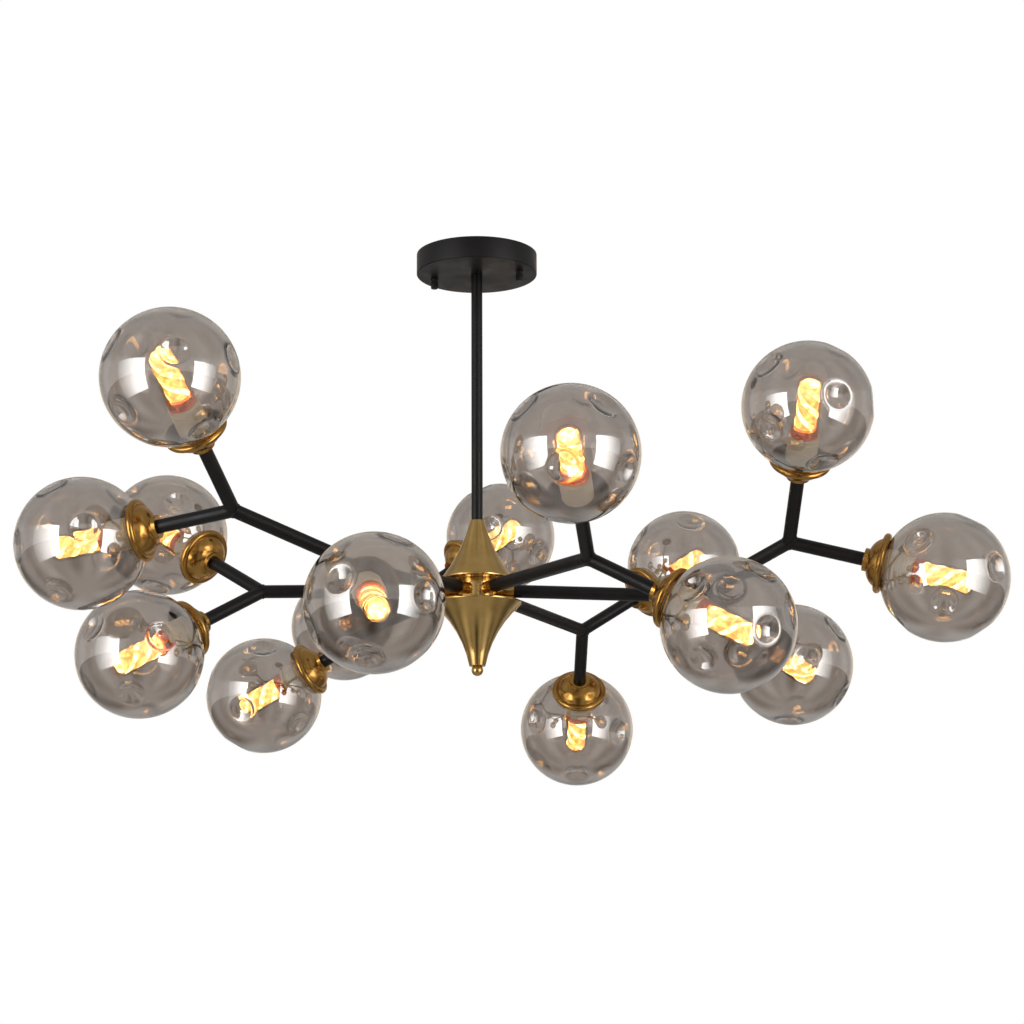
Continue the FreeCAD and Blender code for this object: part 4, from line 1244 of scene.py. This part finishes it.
for number, lamp in enumerate(lamp_frames, start=1):
    place = lamp @ shift(z=-BULB_BASE)
    shapes = [
        turned(cap_outline, place, closed=False, sides=40, finish=CAP),
        turned(collar_outline, place, closed=False, sides=72, reshape=press_windows, finish=COLLAR),
        turned(tube_outline, place, sides=48, finish=TUBE),
        turned(core_outline, place, closed=False, sides=40, finish=CORE),
        turned(lid_outline, place, closed=False, sides=40, finish=STRIP),
    ]
    for start in range(STRIP_STARTS):
        shapes.append(diode_strip(place, 2 * math.pi * start / STRIP_STARTS + number))
    make_piece(f"bulb_{number}_lit", shapes, BULB_FINISHES,
               f"bulb_{number}", "bulb_glass", [f"bulb_{number}"])
print("bulbs made:", len(lamp_frames))

# %% [markdown]
# ## The globes
# A blower presses a rounded tool into each hot globe nine times. A dent is the inside of a ball of 18 mm
# radius that reaches 6 mm into the glass, with a rim that the surface tension of the hot glass rounds off.
# The inner wall follows the outer one less exactly, because glass flows: its dents have wider rims. So the
# wall is thicker round each dent, and works as a lens there. This gives the bright squiggles round the
# dents of the real globes. The outer wall stays a tenth of a millimetre inside its solid. The grid is drawn
# once, and each globe is turned to another place on its thread.

# %% Blow the globes
GLOBE_RADIUS = 60.0
GLOBE_WALL = 2.0
NECK_RADIUS = 18.0
NECK_LENGTH = 6.0
MOUTH_RADIUS = 14.9
DENT_BALL = 18.0
DENT_DEPTH = 6.0
GLOBE_TURN = 137.5
OUTER_RIM = 1.6
INNER_RIM = 4.0
GLOBE_MARGIN = 0.1
PAST_THE_BALL = 0.08
FAR_OFF = 50.0
# Where the dents are in degrees: from the tip of the globe, and round it.
DENTS = (
    (38, 20), (44, 150), (50, 265), (82, 75), (88, 200), (78, 325), (118, 20), (124, 140), (120, 255),
)
GLOBE_SIDES = 160
GLOBE_ROWS = 104


def dented_radius(directions, radius, ball, rim):
    """How far the glass reaches in each direction: the round globe, less its dents, joined by soft rims."""
    reach = np.full(directions.shape[:-1], radius)
    away = GLOBE_RADIUS + DENT_BALL - DENT_DEPTH
    for from_tip, around in DENTS:
        a, b = math.radians(from_tip), math.radians(around)
        axis = np.array((math.sin(a) * math.cos(b), math.sin(a) * math.sin(b), math.cos(a)))
        along = directions @ axis
        beside = away**2 * (1 - along**2)
        hollow = away * along - np.sqrt(np.maximum(ball**2 - beside, 0))
        hollow = hollow + np.maximum(beside - ball**2, 0) * PAST_THE_BALL
        hollow = np.where(along > 0.5, hollow, radius + FAR_OFF)
        gap = np.maximum(rim - np.abs(hollow - reach), 0) / rim
        reach = np.minimum(hollow, reach) - gap**2 * rim / 4
    return reach


def glass_wall(radius, ball, rim, opening):
    """A grid over one face of the glass, from its tip to where the neck starts."""
    last = math.pi - math.asin(opening / radius)
    polar = np.linspace(0, last, GLOBE_ROWS)
    angles = np.linspace(0, 2 * math.pi, GLOBE_SIDES, endpoint=False)
    directions = np.stack((
        np.sin(polar)[:, None] * np.cos(angles), np.sin(polar)[:, None] * np.sin(angles),
        np.cos(polar)[:, None] * np.ones(GLOBE_SIDES),
    ), axis=-1)
    return directions * dented_radius(directions, radius, ball, rim)[..., None]


outer_wall = glass_wall(GLOBE_RADIUS - GLOBE_MARGIN, DENT_BALL, OUTER_RIM, NECK_RADIUS + 0.8)
inner_wall = glass_wall(GLOBE_RADIUS - GLOBE_WALL, DENT_BALL + GLOBE_WALL, INNER_RIM, MOUTH_RADIUS)
neck_foot = -math.sqrt(GLOBE_RADIUS**2 - NECK_RADIUS**2) - NECK_LENGTH
neck_outline = outline([
    (NECK_RADIUS, neck_foot + NECK_LENGTH - 1.2),
    (NECK_RADIUS, neck_foot),
    (MOUTH_RADIUS, neck_foot),
    (MOUTH_RADIUS, neck_foot + NECK_LENGTH + 0.8),
], broken=0.9, closed=False)
around = np.linspace(0, 2 * math.pi, GLOBE_SIDES, endpoint=False)
neck = np.array([[(p.x * math.cos(a), p.x * math.sin(a), p.y) for a in around] for p in neck_outline])
globe_grid = np.concatenate((outer_wall, neck, inner_wall[::-1]))
globe_faces = ring_faces(len(globe_grid), GLOBE_SIDES)
globe_rest = globe_faces, no_maps(globe_faces), [0] * len(globe_faces)

for number, lamp in enumerate(lamp_frames, start=1):
    spots = put(globe_grid.reshape(-1, 3), lamp @ spin("Z", number * GLOBE_TURN))
    make_piece(f"globe_{number}_glass", [(spots, *globe_rest)],
               [smoke_glass], f"globe_{number}", "smoked_glass", [f"globe_{number}"], sharp=70.0)
print("globes blown:", len(lamp_frames), "with", len(globe_faces), "faces each")

# %% [markdown]
# ## What the canopy hides
# The straps, studs, nuts and wires above the canopy keep the shape of their solids, which is already
# theirs. They only get their finishes, and a small bevel where a punch or a file would leave one.

# %% Finish the hidden parts
HIDDEN_FINISHES = {
    "ceiling_strap": zinc, "stud_strap": zinc, "strap_rivet": zinc, "crossbar_studs": zinc,
    "rod_lock_nut": zinc, "rod_top_nipple": zinc, "hub_nipple": zinc, "hub_lock_nut": zinc,
    "earth_screw": hub_brass, "terminal_block": ivory, "wiring_harness": wire_skin,
}
NO_BEVEL = ("wiring_harness", "hub_nipple")
FILED_EDGE = 0.2 * MM
for name, material in HIDDEN_FINISHES.items():
    solid = frame["nodes"][name]
    solid.data.materials.clear()
    solid.data.materials.append(material)
    solid["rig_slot"] = next(p["material_slot"] for p in frame["record"]["subparts"] if p["node"] == name)
    if name not in NO_BEVEL:
        edge = solid.modifiers.new("filed_edge", "BEVEL")
        edge.width = FILED_EDGE
        edge.segments = 2
        edge.limit_method = "ANGLE"
        edge.angle_limit = math.radians(50)
print("finished", len(HIDDEN_FINISHES), "hidden parts")
